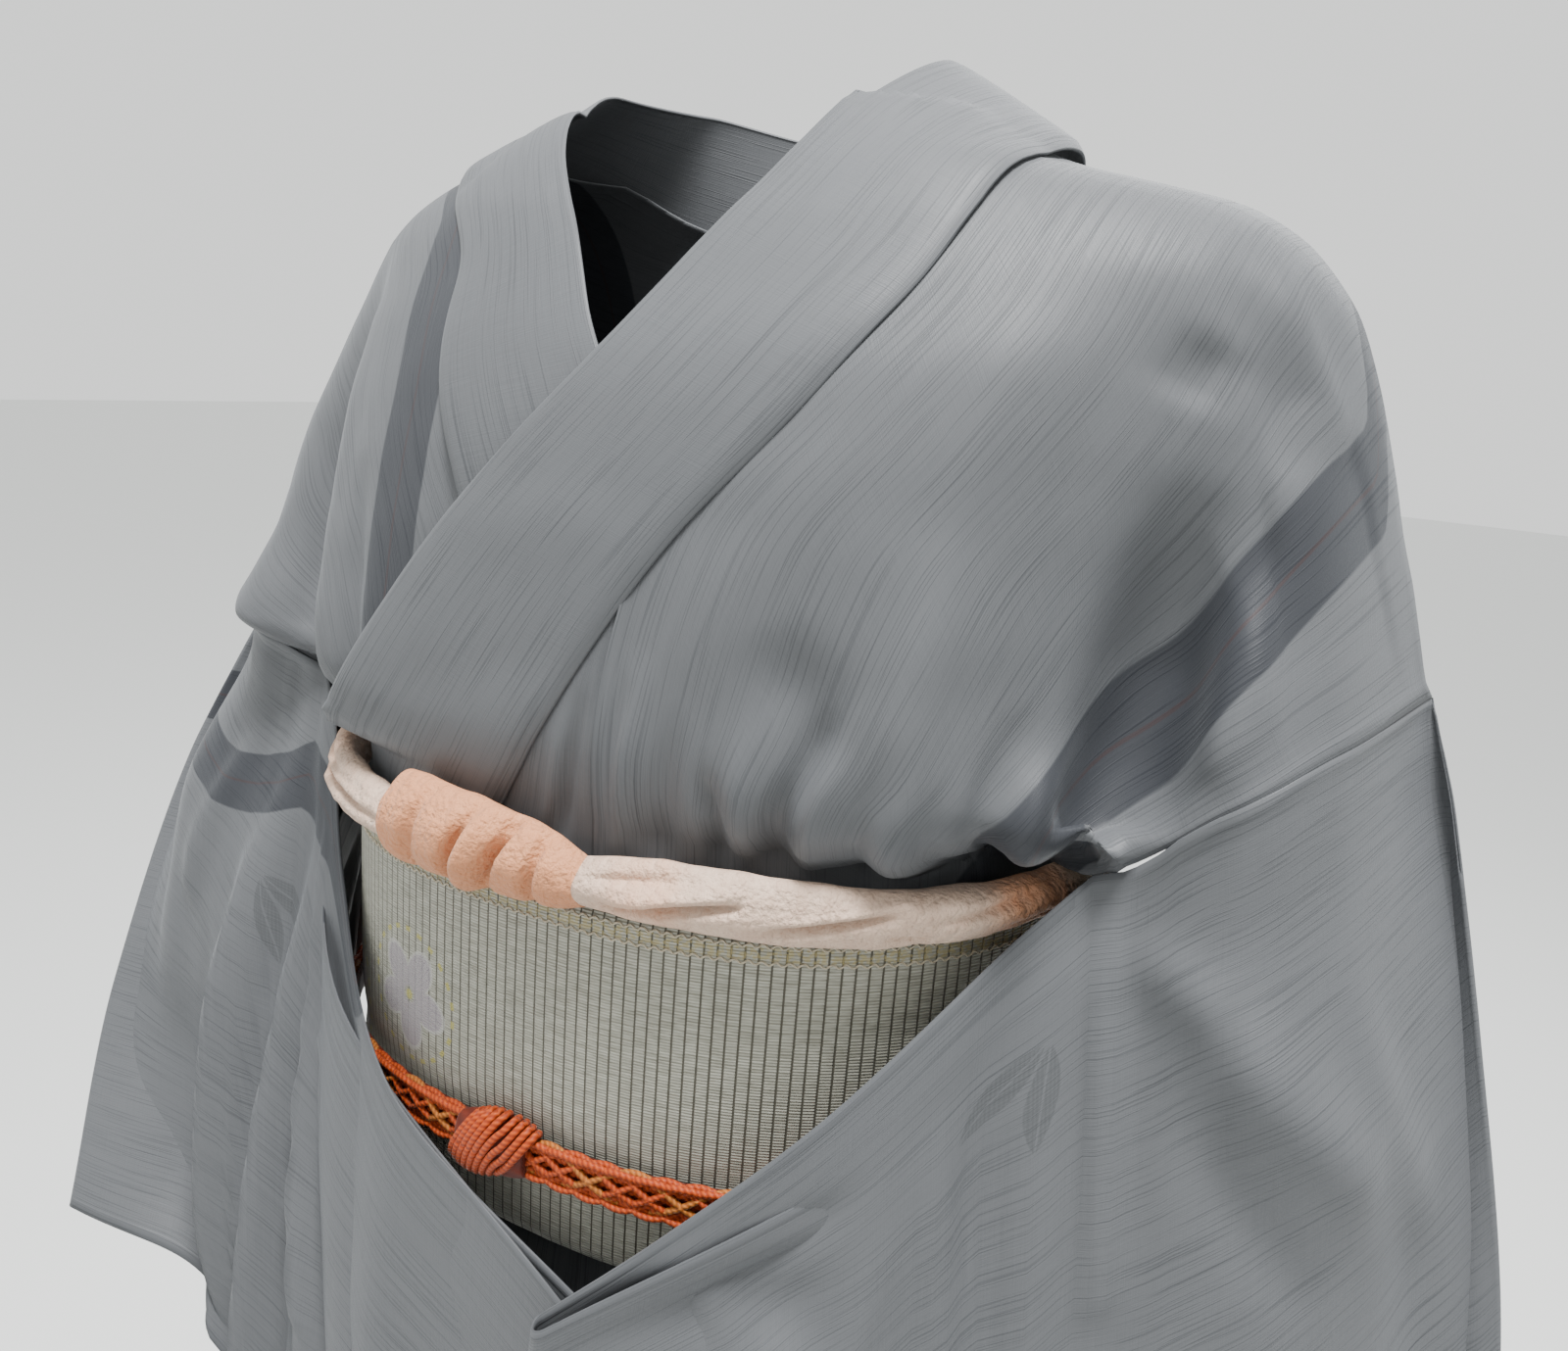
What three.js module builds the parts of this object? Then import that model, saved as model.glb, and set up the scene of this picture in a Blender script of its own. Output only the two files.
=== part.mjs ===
// A summer kimono worn with its own sash, hollow, as it hangs on the shoulders.
// Millimetres, +Z up. The front faces -Y and the wearer's left is +X.
// The origin is on the centre line between the shoulders, where the garment is held up.
import * as THREE from 'three';

// Driving sizes: the cloth, and the gap that pieces keep at a seam.
const WALL = 1.4;
const COLLAR_WALL = 2;
const SASH_WALL = 3.2;
const SLEEVE_GAP = 1.3;

// The sash: its height, where its top edge lies, and how it rises to the left.
const OBI_TOP = -292;
const OBI_HEIGHT = 155;
const OBI_RISE = 0.045;
const TUCK_BOTTOM = -506;
const HEM = -1310;

// How far each layer's outer face lies outside the worn form.
const LAYER = { under: 1.6, over: 8.6, collarAbove: 4 };
const OBI_LAYER = 16.2;

// The worn form, section by section: half width on the left and right, and how far it reaches
// to the front and back. The right shoulder slopes more than the left.
const RIDGE_Y = 15;
const ROUNDNESS = 2.4;
const FORM = [
  { z: 4, left: 88, right: 88, front: 30, back: 70 },
  { z: -12, left: 122, right: 124, front: 45, back: 82 },
  { z: -32, left: 198, right: 168, front: 62, back: 88 },
  { z: -45, left: 219, right: 187, front: 72, back: 92 },
  { z: -65, left: 236, right: 202, front: 84, back: 97 },
  { z: -97, left: 249, right: 220, front: 100, back: 101 },
  { z: -137, left: 262, right: 240, front: 112, back: 103 },
  { z: -190, left: 283, right: 269, front: 121, back: 103 },
  { z: -232, left: 296, right: 297, front: 125, back: 102 },
  { z: -243, left: 268, right: 268, front: 124, back: 101 },
  { z: -252, left: 200, right: 200, front: 123, back: 100 },
  { z: -259, left: 163, right: 163, front: 122, back: 99 },
  { z: -292, left: 160, right: 160, front: 120, back: 97 },
  { z: -445, left: 160, right: 160, front: 119, back: 99 },
  { z: -520, left: 174, right: 174, front: 126, back: 112 },
  { z: -700, left: 188, right: 188, front: 134, back: 124 },
  { z: -900, left: 180, right: 180, front: 130, back: 122 },
  { z: HEM, left: 156, right: 156, front: 118, back: 112 },
];

// The hollow between the chest and each arm, in front: its depth down the form.
const HOLLOW = [
  { z: -55, depth: 0 },
  { z: -110, depth: 22 },
  { z: -170, depth: 36 },
  { z: -250, depth: 34 },
  { z: -268, depth: 0 },
];
const HOLLOW_WIDTH = 33;
const HOLLOW_X = { left: 202, right: -180 };

// Colours of the cloths.
const CLOTH = { color: 0x8b9398, roughness: 0.62, metalness: 0 };
const SASH = { color: 0xb4b5a4, roughness: 0.6, metalness: 0 };
const SCARF = { color: 0xf0d9c8, roughness: 0.7, metalness: 0 };
const SCARF_KNOT = { color: 0xe0a07c, roughness: 0.7, metalness: 0 };
const CORD = { color: 0xc8501e, roughness: 0.65, metalness: 0 };

const mix = (a, b, t) => a + (b - a) * t;
const clamp = (x, low, high) => Math.min(high, Math.max(low, x));
const radians = (degrees) => (degrees * Math.PI) / 180;

function smooth(low, high, x) {
  const t = clamp((x - low) / (high - low), 0, 1);
  return t * t * (3 - 2 * t);
}

// Reads a column of a table between its rows, with no overshoot. Rows run up or down in key.
function read(table, key, at, column) {
  const last = table.length - 1;
  const down = table[last][key] < table[0][key] ? -1 : 1;
  const x = clamp(at * down, table[0][key] * down, table[last][key] * down);
  let row = 0;
  while (row < last - 1 && table[row + 1][key] * down < x) row += 1;
  const slope = (i) => {
    const width = (table[i + 1][key] - table[i][key]) * down;
    return (table[i + 1][column] - table[i][column]) / width;
  };
  const tangent = (i) => {
    if (i === 0) return slope(0);
    if (i === last) return slope(last - 1);
    const before = slope(i - 1);
    const after = slope(i);
    return before * after <= 0 ? 0 : (2 * before * after) / (before + after);
  };
  const span = (table[row + 1][key] - table[row][key]) * down;
  const t = (x - table[row][key] * down) / span;
  const t2 = t * t;
  const t3 = t2 * t;
  return (2 * t3 - 3 * t2 + 1) * table[row][column]
    + (t3 - 2 * t2 + t) * span * tangent(row)
    + (3 * t2 - 2 * t3) * table[row + 1][column]
    + (t3 - t2) * span * tangent(row + 1);
}

function curvePoint(table, at) {
  return new THREE.Vector3(
    read(table, 'at', at, 'x'),
    read(table, 'at', at, 'y'),
    read(table, 'at', at, 'z'),
  );
}

function formHalf(x, z) {
  return read(FORM, 'z', z, x > 0 ? 'left' : 'right');
}

// The form's surface seen from the front or the back: how deep it lies at a place. limit is the
// largest share of the half width that is followed, so that an arm hangs clear of the waist.
function formY(x, z, front, limit = 1) {
  const part = Math.min(limit, Math.abs(x) / formHalf(x, z));
  const share = (1 - part ** ROUNDNESS) ** (1 / ROUNDNESS);
  if (!front) return RIDGE_Y + (read(FORM, 'z', z, 'back') - RIDGE_Y) * share;
  const centre = x > 0 ? HOLLOW_X.left : HOLLOW_X.right;
  const depth = read(HOLLOW, 'z', z, 'depth');
  const hollow = depth * Math.exp(-(((x - centre) / HOLLOW_WIDTH) ** 2));
  return RIDGE_Y - (read(FORM, 'z', z, 'front') + RIDGE_Y) * share + hollow * share;
}

// A point on a level section of the form. Angle 0 is the front, 90 the wearer's left.
function ringPoint(degrees, z, layer) {
  const angle = radians(degrees);
  const side = Math.sin(angle);
  const ahead = Math.cos(angle);
  const half = formHalf(side, z) + layer;
  const depth = ahead > 0
    ? read(FORM, 'z', z, 'front') + RIDGE_Y + layer
    : read(FORM, 'z', z, 'back') - RIDGE_Y + layer;
  const power = 2 / ROUNDNESS;
  return new THREE.Vector3(
    half * Math.sign(side) * Math.abs(side) ** power,
    RIDGE_Y - depth * Math.sign(ahead) * Math.abs(ahead) ** power,
    z,
  );
}

// The height at which the shoulder line passes a given half width.
function shoulderZ(x) {
  let high = 4;
  let low = -232;
  for (let step = 0; step < 40; step += 1) {
    const middle = (high + low) / 2;
    if (formHalf(x, middle) < Math.abs(x)) high = middle;
    else low = middle;
  }
  return (high + low) / 2;
}

// A closed wall of cloth on a grid of outer points. face(i, j) gives a point, and the wall is
// laid inside it. A round piece joins its last column to its first.
function clothMesh(name, material, face, columns, rows, wall, round = false) {
  const wide = round ? columns : columns + 1;
  const outer = [];
  for (let j = 0; j <= rows; j += 1) {
    for (let i = 0; i < wide; i += 1) outer.push(face(i / columns, j / rows));
  }
  const at = (i, j) => outer[j * wide + (round ? (i + wide) % wide : clamp(i, 0, wide - 1))];
  const inner = outer.map((point, index) => {
    const i = index % wide;
    const j = Math.floor(index / wide);
    const across = at(i + 1, j).clone().sub(at(i - 1, j));
    const along = at(i, clamp(j + 1, 0, rows)).clone().sub(at(i, clamp(j - 1, 0, rows)));
    const normal = across.cross(along).normalize();
    return point.clone().addScaledVector(normal, -wall);
  });
  const positions = [];
  for (const point of [...outer, ...inner]) positions.push(point.x, point.y, point.z);
  const faces = [];
  const quad = (a, b, c, d) => faces.push(a, b, c, a, c, d);
  const far = outer.length;
  const key = (i, j) => j * wide + (round ? i % wide : i);
  for (let j = 0; j < rows; j += 1) {
    for (let i = 0; i < columns; i += 1) {
      quad(key(i, j), key(i + 1, j), key(i + 1, j + 1), key(i, j + 1));
      quad(far + key(i, j), far + key(i, j + 1), far + key(i + 1, j + 1), far + key(i + 1, j));
    }
  }
  for (let i = 0; i < columns; i += 1) {
    quad(key(i, 0), far + key(i, 0), far + key(i + 1, 0), key(i + 1, 0));
    quad(key(i, rows), key(i + 1, rows), far + key(i + 1, rows), far + key(i, rows));
  }
  for (let j = 0; j < rows && !round; j += 1) {
    quad(key(0, j), key(0, j + 1), far + key(0, j + 1), far + key(0, j));
    quad(key(columns, j), far + key(columns, j), far + key(columns, j + 1), key(columns, j + 1));
  }
  return finishMesh(name, material, positions, faces);
}

// A closed solid body: rings of points along a path, with its two ends covered.
function rollMesh(name, material, face, around, rows) {
  const positions = [];
  const faces = [];
  const start = new THREE.Vector3();
  const end = new THREE.Vector3();
  for (let j = 0; j <= rows; j += 1) {
    for (let i = 0; i < around; i += 1) {
      const point = face(i / around, j / rows);
      positions.push(point.x, point.y, point.z);
      if (j === 0) start.addScaledVector(point, 1 / around);
      if (j === rows) end.addScaledVector(point, 1 / around);
    }
  }
  const key = (i, j) => j * around + (i % around);
  for (let j = 0; j < rows; j += 1) {
    for (let i = 0; i < around; i += 1) {
      faces.push(key(i, j), key(i + 1, j), key(i + 1, j + 1));
      faces.push(key(i, j), key(i + 1, j + 1), key(i, j + 1));
    }
  }
  const first = positions.length / 3;
  positions.push(start.x, start.y, start.z, end.x, end.y, end.z);
  for (let i = 0; i < around; i += 1) {
    faces.push(first, key(i + 1, 0), key(i, 0));
    faces.push(first + 1, key(i, rows), key(i + 1, rows));
  }
  return finishMesh(name, material, positions, faces);
}

// Makes the mesh, and turns its faces round if they point inwards.
function finishMesh(name, material, positions, faces) {
  let volume = 0;
  const a = new THREE.Vector3();
  const b = new THREE.Vector3();
  const c = new THREE.Vector3();
  for (let k = 0; k < faces.length; k += 3) {
    a.fromArray(positions, faces[k] * 3);
    b.fromArray(positions, faces[k + 1] * 3);
    c.fromArray(positions, faces[k + 2] * 3);
    volume += a.dot(b.cross(c));
  }
  const index = volume > 0 ? faces : faces.slice().reverse();
  const geometry = new THREE.BufferGeometry();
  geometry.setAttribute('position', new THREE.Float32BufferAttribute(positions, 3));
  geometry.setIndex(index);
  geometry.computeVertexNormals();
  const mesh = new THREE.Mesh(geometry, new THREE.MeshStandardMaterial(material));
  mesh.name = name;
  return mesh;
}

// A four-sided patch between its top, bottom, near and far edges.
function patch(top, bottom, near, far, u, v) {
  const point = new THREE.Vector3();
  point.addScaledVector(top(u), 1 - v).addScaledVector(bottom(u), v);
  point.addScaledVector(near(v), 1 - u).addScaledVector(far(v), u);
  point.addScaledVector(top(0), -(1 - u) * (1 - v)).addScaledVector(top(1), -u * (1 - v));
  point.addScaledVector(bottom(0), -(1 - u) * v).addScaledVector(bottom(1), -u * v);
  return point;
}

// Soft folds on a patch. Each runs between two places on the flat cloth, in millimetres.
function foldLift(folds, x, y) {
  let lift = 0;
  for (const fold of folds) {
    const dx = fold.x2 - fold.x1;
    const dy = fold.y2 - fold.y1;
    const t = clamp(((x - fold.x1) * dx + (y - fold.y1) * dy) / (dx * dx + dy * dy), 0, 1);
    const away = Math.hypot(x - fold.x1 - t * dx, y - fold.y1 - t * dy);
    lift += fold.lift * Math.exp(-((away / fold.width) ** 2));
  }
  return lift;
}

// The body panels. Each is one length of cloth over the shoulder, from the tuck in front to the
// tuck behind. The inner edge goes under the collar, and the outer edge carries the sleeve down
// to the end of the armhole. "at" runs from 0 on the shoulder line to 1 at the waist.
const SIDES = {
  left: {
    sign: 1,
    neck: 118,
    shoulderEnd: 283,
    waistInner: 5.9,
    frontInner: [
      { at: 0, x: 118, z: -10.7 },
      { at: 0.22, x: 102, z: -64 },
      { at: 0.42, x: 72, z: -108 },
      { at: 0.62, x: 39, z: -152 },
      { at: 0.82, x: 27, z: -212 },
      { at: 1, x: 24, z: OBI_TOP },
    ],
    frontOuter: [
      { at: 0, x: 283, y: 15, z: -190 },
      { at: 0.3, x: 260, y: -50, z: -200 },
      { at: 0.55, x: 234, y: -76, z: -219 },
      { at: 0.8, x: 194, y: -70, z: -254 },
      { at: 0.9, x: 161, y: -34, z: -266 },
      { at: 1, x: 157, y: -22, z: OBI_TOP },
    ],
    backOuter: [
      { at: 0, x: 283, y: 15, z: -190 },
      { at: 0.3, x: 278, y: 50, z: -212 },
      { at: 0.55, x: 252, y: 66, z: -234 },
      { at: 0.8, x: 203, y: 44, z: -254 },
      { at: 0.9, x: 163, y: 26, z: -266 },
      { at: 1, x: 159, y: 24, z: OBI_TOP },
    ],
  },
  right: {
    sign: -1,
    neck: 134,
    shoulderEnd: 297,
    waistInner: -1.8,
    frontInner: [
      { at: 0, x: -134, z: -16 },
      { at: 0.14, x: -103, z: -42 },
      { at: 0.27, x: -77, z: -70 },
      { at: 0.4, x: -71, z: -106 },
      { at: 0.54, x: -54, z: -140 },
      { at: 0.66, x: -34, z: -172 },
      { at: 0.83, x: -20, z: -225 },
      { at: 1, x: -9, z: OBI_TOP },
    ],
    frontOuter: [
      { at: 0, x: -297, y: 15, z: -230 },
      { at: 0.3, x: -272, y: -45, z: -234 },
      { at: 0.55, x: -232, y: -72, z: -243 },
      { at: 0.8, x: -189, y: -68, z: -256 },
      { at: 0.9, x: -161, y: -34, z: -267 },
      { at: 1, x: -157, y: -22, z: OBI_TOP },
    ],
    backOuter: [
      { at: 0, x: -297, y: 15, z: -230 },
      { at: 0.3, x: -290, y: 46, z: -240 },
      { at: 0.55, x: -256, y: 60, z: -249 },
      { at: 0.8, x: -203, y: 42, z: -257 },
      { at: 0.9, x: -163, y: 26, z: -267 },
      { at: 1, x: -159, y: 24, z: OBI_TOP },
    ],
  },
};
const BACK_INNER = [
  { at: 0, side: 1, z: 0 },
  { at: 0.1, side: 0.66, z: -30 },
  { at: 0.22, side: 0.003, z: -52 },
  { at: 1, side: 0.003, z: OBI_TOP },
];
const ARMHOLE_END = 0.8;
const SIDE_SEAM = 82;
const TUCK_LENGTH = 1.6;
const PANEL_ROWS = [
  0, 0.06, 0.13, 0.21, 0.3, 0.4, 0.5, 0.6, 0.7, 0.8, 0.86, 0.92, 0.96, 1, 1.3, TUCK_LENGTH,
];

// How far the over layer stands out, growing down from the neck and fading to the side seam.
function panelLift(side, point, front) {
  if (side.sign < 0 || !front) return LAYER.under;
  return mix(LAYER.under, LAYER.over, smooth(-25, -110, point.z) * (1 - smooth(140, 176, point.x)));
}

// A point on the form of a body panel. length is the run from the shoulder, minus behind.
function bodyPoint(side, across, length) {
  const front = length >= 0;
  const run = Math.abs(length);
  const down = Math.min(1, run);
  const outerTable = front ? side.frontOuter : side.backOuter;
  const neckX = side.neck * side.sign;
  const inner = (v) => {
    if (front) {
      const column = (name) => read(side.frontInner, 'at', v, name);
      return new THREE.Vector3(column('x'), 0, column('z'));
    }
    const x = read(BACK_INNER, 'at', v, 'side') * neckX;
    return new THREE.Vector3(x, 0, Math.min(shoulderZ(neckX), read(BACK_INNER, 'at', v, 'z')));
  };
  const outer = (v) => curvePoint(outerTable, v).setY(0);
  const ridge = (u) => {
    const x = mix(side.neck, side.shoulderEnd, u) * side.sign;
    return new THREE.Vector3(x, 0, shoulderZ(x));
  };
  const startAngle = front ? side.waistInner : 179.7 * side.sign;
  const endAngle = front ? SIDE_SEAM * side.sign : (SIDE_SEAM + 1) * side.sign;
  const waist = (u) => ringPoint(mix(startAngle, endAngle, u), OBI_TOP, 0).setY(0);
  if (run > 1) {
    const share = (run - 1) / (TUCK_LENGTH - 1);
    return ringPoint(mix(startAngle, endAngle, across), mix(OBI_TOP, TUCK_BOTTOM, share), 0);
  }
  const flat = patch(ridge, waist, inner, outer, across, down);
  const edge = outer(down);
  const limit = mix(1, 0.86, smooth(0, 0.3, down));
  const edgeY = read(outerTable, 'at', down, 'y') - formY(edge.x, edge.z, front, limit);
  flat.y = formY(flat.x, flat.z, front, limit) + edgeY * smooth(0.6, 1, across);
  return flat;
}

// The same point moved out to the outer face of its layer.
function bodyFace(side, across, length) {
  const step = 0.004;
  const a0 = bodyPoint(side, clamp(across - step, 0, 1), length);
  const a1 = bodyPoint(side, clamp(across + step, 0, 1), length);
  const b0 = bodyPoint(side, across, clamp(length - step, -TUCK_LENGTH, TUCK_LENGTH));
  const b1 = bodyPoint(side, across, clamp(length + step, -TUCK_LENGTH, TUCK_LENGTH));
  const normal = b1.sub(b0).cross(a1.sub(a0)).normalize().multiplyScalar(side.sign);
  const point = bodyPoint(side, across, length);
  return point.addScaledVector(normal, panelLift(side, point, length >= 0));
}

function rowsOf(table, j) {
  const place = j * (table.length - 1);
  const row = Math.min(table.length - 2, Math.floor(place));
  return mix(table[row], table[row + 1], place - row);
}

function bodyPanel(name, side) {
  const both = [...PANEL_ROWS.slice(1).reverse().map((x) => -x), ...PANEL_ROWS];
  const face = (i, j) => bodyFace(side, i, rowsOf(both, j));
  return clothMesh(name, CLOTH, face, 12, both.length - 1, -WALL * side.sign);
}

// The overlap panels: a narrow strip beside the body's inner edge, from a point under the
// collar down to the tuck. The angles are its free edge's.
const OVERLAPS = {
  left: { side: SIDES.left, tipX: 34, waistX: -40, waistAngle: -14.5, tuckAngle: -50 },
  right: { side: SIDES.right, tipX: -37, waistX: 44, waistAngle: 16.2, tuckAngle: 50 },
};
const OVERLAP_ROWS = [0.6, 0.7, 0.8, 0.86, 0.92, 0.96, 1, 1.3, TUCK_LENGTH];
const OVERLAP_GAP = 1;

function overlapPoint(strip, across, length) {
  const { side } = strip;
  const seam = bodyFace(side, 0, length);
  seam.x -= OVERLAP_GAP * side.sign;
  const lift = panelLift(side, seam, true);
  if (length > 1) {
    const share = (length - 1) / (TUCK_LENGTH - 1);
    const freeAngle = mix(strip.waistAngle, strip.tuckAngle, share);
    const angle = mix(freeAngle, side.waistInner, across);
    const point = ringPoint(angle, seam.z, lift);
    point.x -= OVERLAP_GAP * side.sign * across;
    return point;
  }
  const share = (length - OVERLAP_ROWS[0]) / (1 - OVERLAP_ROWS[0]);
  const x = mix(mix(strip.tipX, strip.waistX, share), seam.x, across);
  return new THREE.Vector3(x, formY(x, seam.z, true) - lift, seam.z);
}

function overlapPanel(name, strip) {
  const face = (i, j) => overlapPoint(strip, i, rowsOf(OVERLAP_ROWS, j));
  return clothMesh(name, CLOTH, face, 4, OVERLAP_ROWS.length - 1, -WALL * strip.side.sign);
}

// The collar: one folded ribbon from under the sash on the left, round the neck, and down the
// right. "own" is 0 where it lies on the chest and 1 where it stands on its own round the neck.
const COLLAR = [
  { at: 0, seamX: -52, seamY: 0, seamZ: -326, edgeX: -128, edgeY: 0, edgeZ: -326, own: 0 },
  { at: 0.06, seamX: -33, seamY: 0, seamZ: -292, edgeX: -128, edgeY: 0, edgeZ: -268, own: 0 },
  { at: 0.11, seamX: -15, seamY: 0, seamZ: -261, edgeX: -106, edgeY: 0, edgeZ: -234, own: 0 },
  { at: 0.18, seamX: 22, seamY: 0, seamZ: -193, edgeX: -62, edgeY: 0, edgeZ: -172, own: 0 },
  { at: 0.24, seamX: 47, seamY: 0, seamZ: -153, edgeX: -28, edgeY: 0, edgeZ: -130, own: 0 },
  { at: 0.3, seamX: 80, seamY: 0, seamZ: -110, edgeX: 6, edgeY: 0, edgeZ: -88, own: 0 },
  { at: 0.36, seamX: 111, seamY: -76, seamZ: -60, edgeX: 38, edgeY: -58, edgeZ: -34, own: 0.3 },
  { at: 0.42, seamX: 126, seamY: -30, seamZ: -17, edgeX: 56, edgeY: -16, edgeZ: 9, own: 1 },
  { at: 0.47, seamX: 130, seamY: 20, seamZ: -5, edgeX: 68, edgeY: 32, edgeZ: 30, own: 1 },
  { at: 0.53, seamX: 96, seamY: 95, seamZ: -35, edgeX: 60, edgeY: 84, edgeZ: 31, own: 1 },
  { at: 0.6, seamX: -2, seamY: 106, seamZ: -60, edgeX: -12, edgeY: 117, edgeZ: 10, own: 1 },
  { at: 0.67, seamX: -98, seamY: 91, seamZ: -42, edgeX: -84, edgeY: 86, edgeZ: 22, own: 1 },
  { at: 0.73, seamX: -145, seamY: 22, seamZ: -14, edgeX: -98, edgeY: 32, edgeZ: 21, own: 1 },
  { at: 0.78, seamX: -118, seamY: -52, seamZ: -36, edgeX: -74, edgeY: -30, edgeZ: -4, own: 0.8 },
  { at: 0.83, seamX: -88, seamY: -80, seamZ: -66, edgeX: -42, edgeY: -66, edgeZ: -38, own: 0.3 },
  { at: 0.87, seamX: -79, seamY: 0, seamZ: -106, edgeX: -8, edgeY: 0, edgeZ: -84, own: 0 },
  { at: 0.91, seamX: -54, seamY: 0, seamZ: -154, edgeX: 28, edgeY: 0, edgeZ: -132, own: 0 },
  { at: 0.96, seamX: -8, seamY: 0, seamZ: -224, edgeX: 74, edgeY: 0, edgeZ: -200, own: 0 },
  { at: 1, seamX: 10, seamY: 0, seamZ: -250, edgeX: 86, edgeY: 0, edgeZ: -222, own: 0 },
];
const COLLAR_MIDDLE = 0.6;

function collarPoint(across, along) {
  const side = along < COLLAR_MIDDLE ? SIDES.left : SIDES.right;
  const own = read(COLLAR, 'at', along, 'own');
  const place = (edge) => new THREE.Vector3(
    read(COLLAR, 'at', along, `${edge}X`),
    read(COLLAR, 'at', along, `${edge}Y`),
    read(COLLAR, 'at', along, `${edge}Z`),
  );
  const point = place('seam').lerp(place('edge'), across);
  if (own < 1) {
    const lift = panelLift(side, point, true) + LAYER.collarAbove;
    const turn = point.x / formHalf(point.x, point.z);
    const onForm = new THREE.Vector3(turn, -1, 0).normalize().multiplyScalar(lift);
    onForm.add(new THREE.Vector3(point.x, formY(point.x, point.z, true), point.z));
    point.lerp(onForm, 1 - own);
  }
  return clearOfBody(side, point);
}

// How far a point lies outside the worn form, as a share of the form's size there.
function outsideForm(point) {
  const reach = point.y < RIDGE_Y
    ? read(FORM, 'z', point.z, 'front') + RIDGE_Y
    : read(FORM, 'z', point.z, 'back') - RIDGE_Y;
  const wide = (Math.abs(point.x) / formHalf(point.x, point.z)) ** ROUNDNESS;
  const deep = (Math.abs(point.y - RIDGE_Y) / reach) ** ROUNDNESS;
  return (wide + deep) ** (1 / ROUNDNESS) - 1;
}

// Keeps a point of the collar outside the panel that it lies on.
function clearOfBody(side, point) {
  const least = panelLift(side, point, point.y < RIDGE_Y) + LAYER.collarAbove;
  for (let turn = 0; turn < 6; turn += 1) {
    const here = outsideForm(point);
    const slope = new THREE.Vector3(
      outsideForm(point.clone().setX(point.x + 1)) - here,
      outsideForm(point.clone().setY(point.y + 1)) - here,
      outsideForm(point.clone().setZ(point.z + 1)) - here,
    );
    const short = least - here / slope.length();
    if (point.z > FORM[0].z || short <= 0) return point;
    point.addScaledVector(slope.normalize(), short);
  }
  return point;
}

function collar() {
  const face = (i, j) => collarPoint(i, j);
  return clothMesh('collar', CLOTH, face, 4, 64, -COLLAR_WALL);
}

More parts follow.
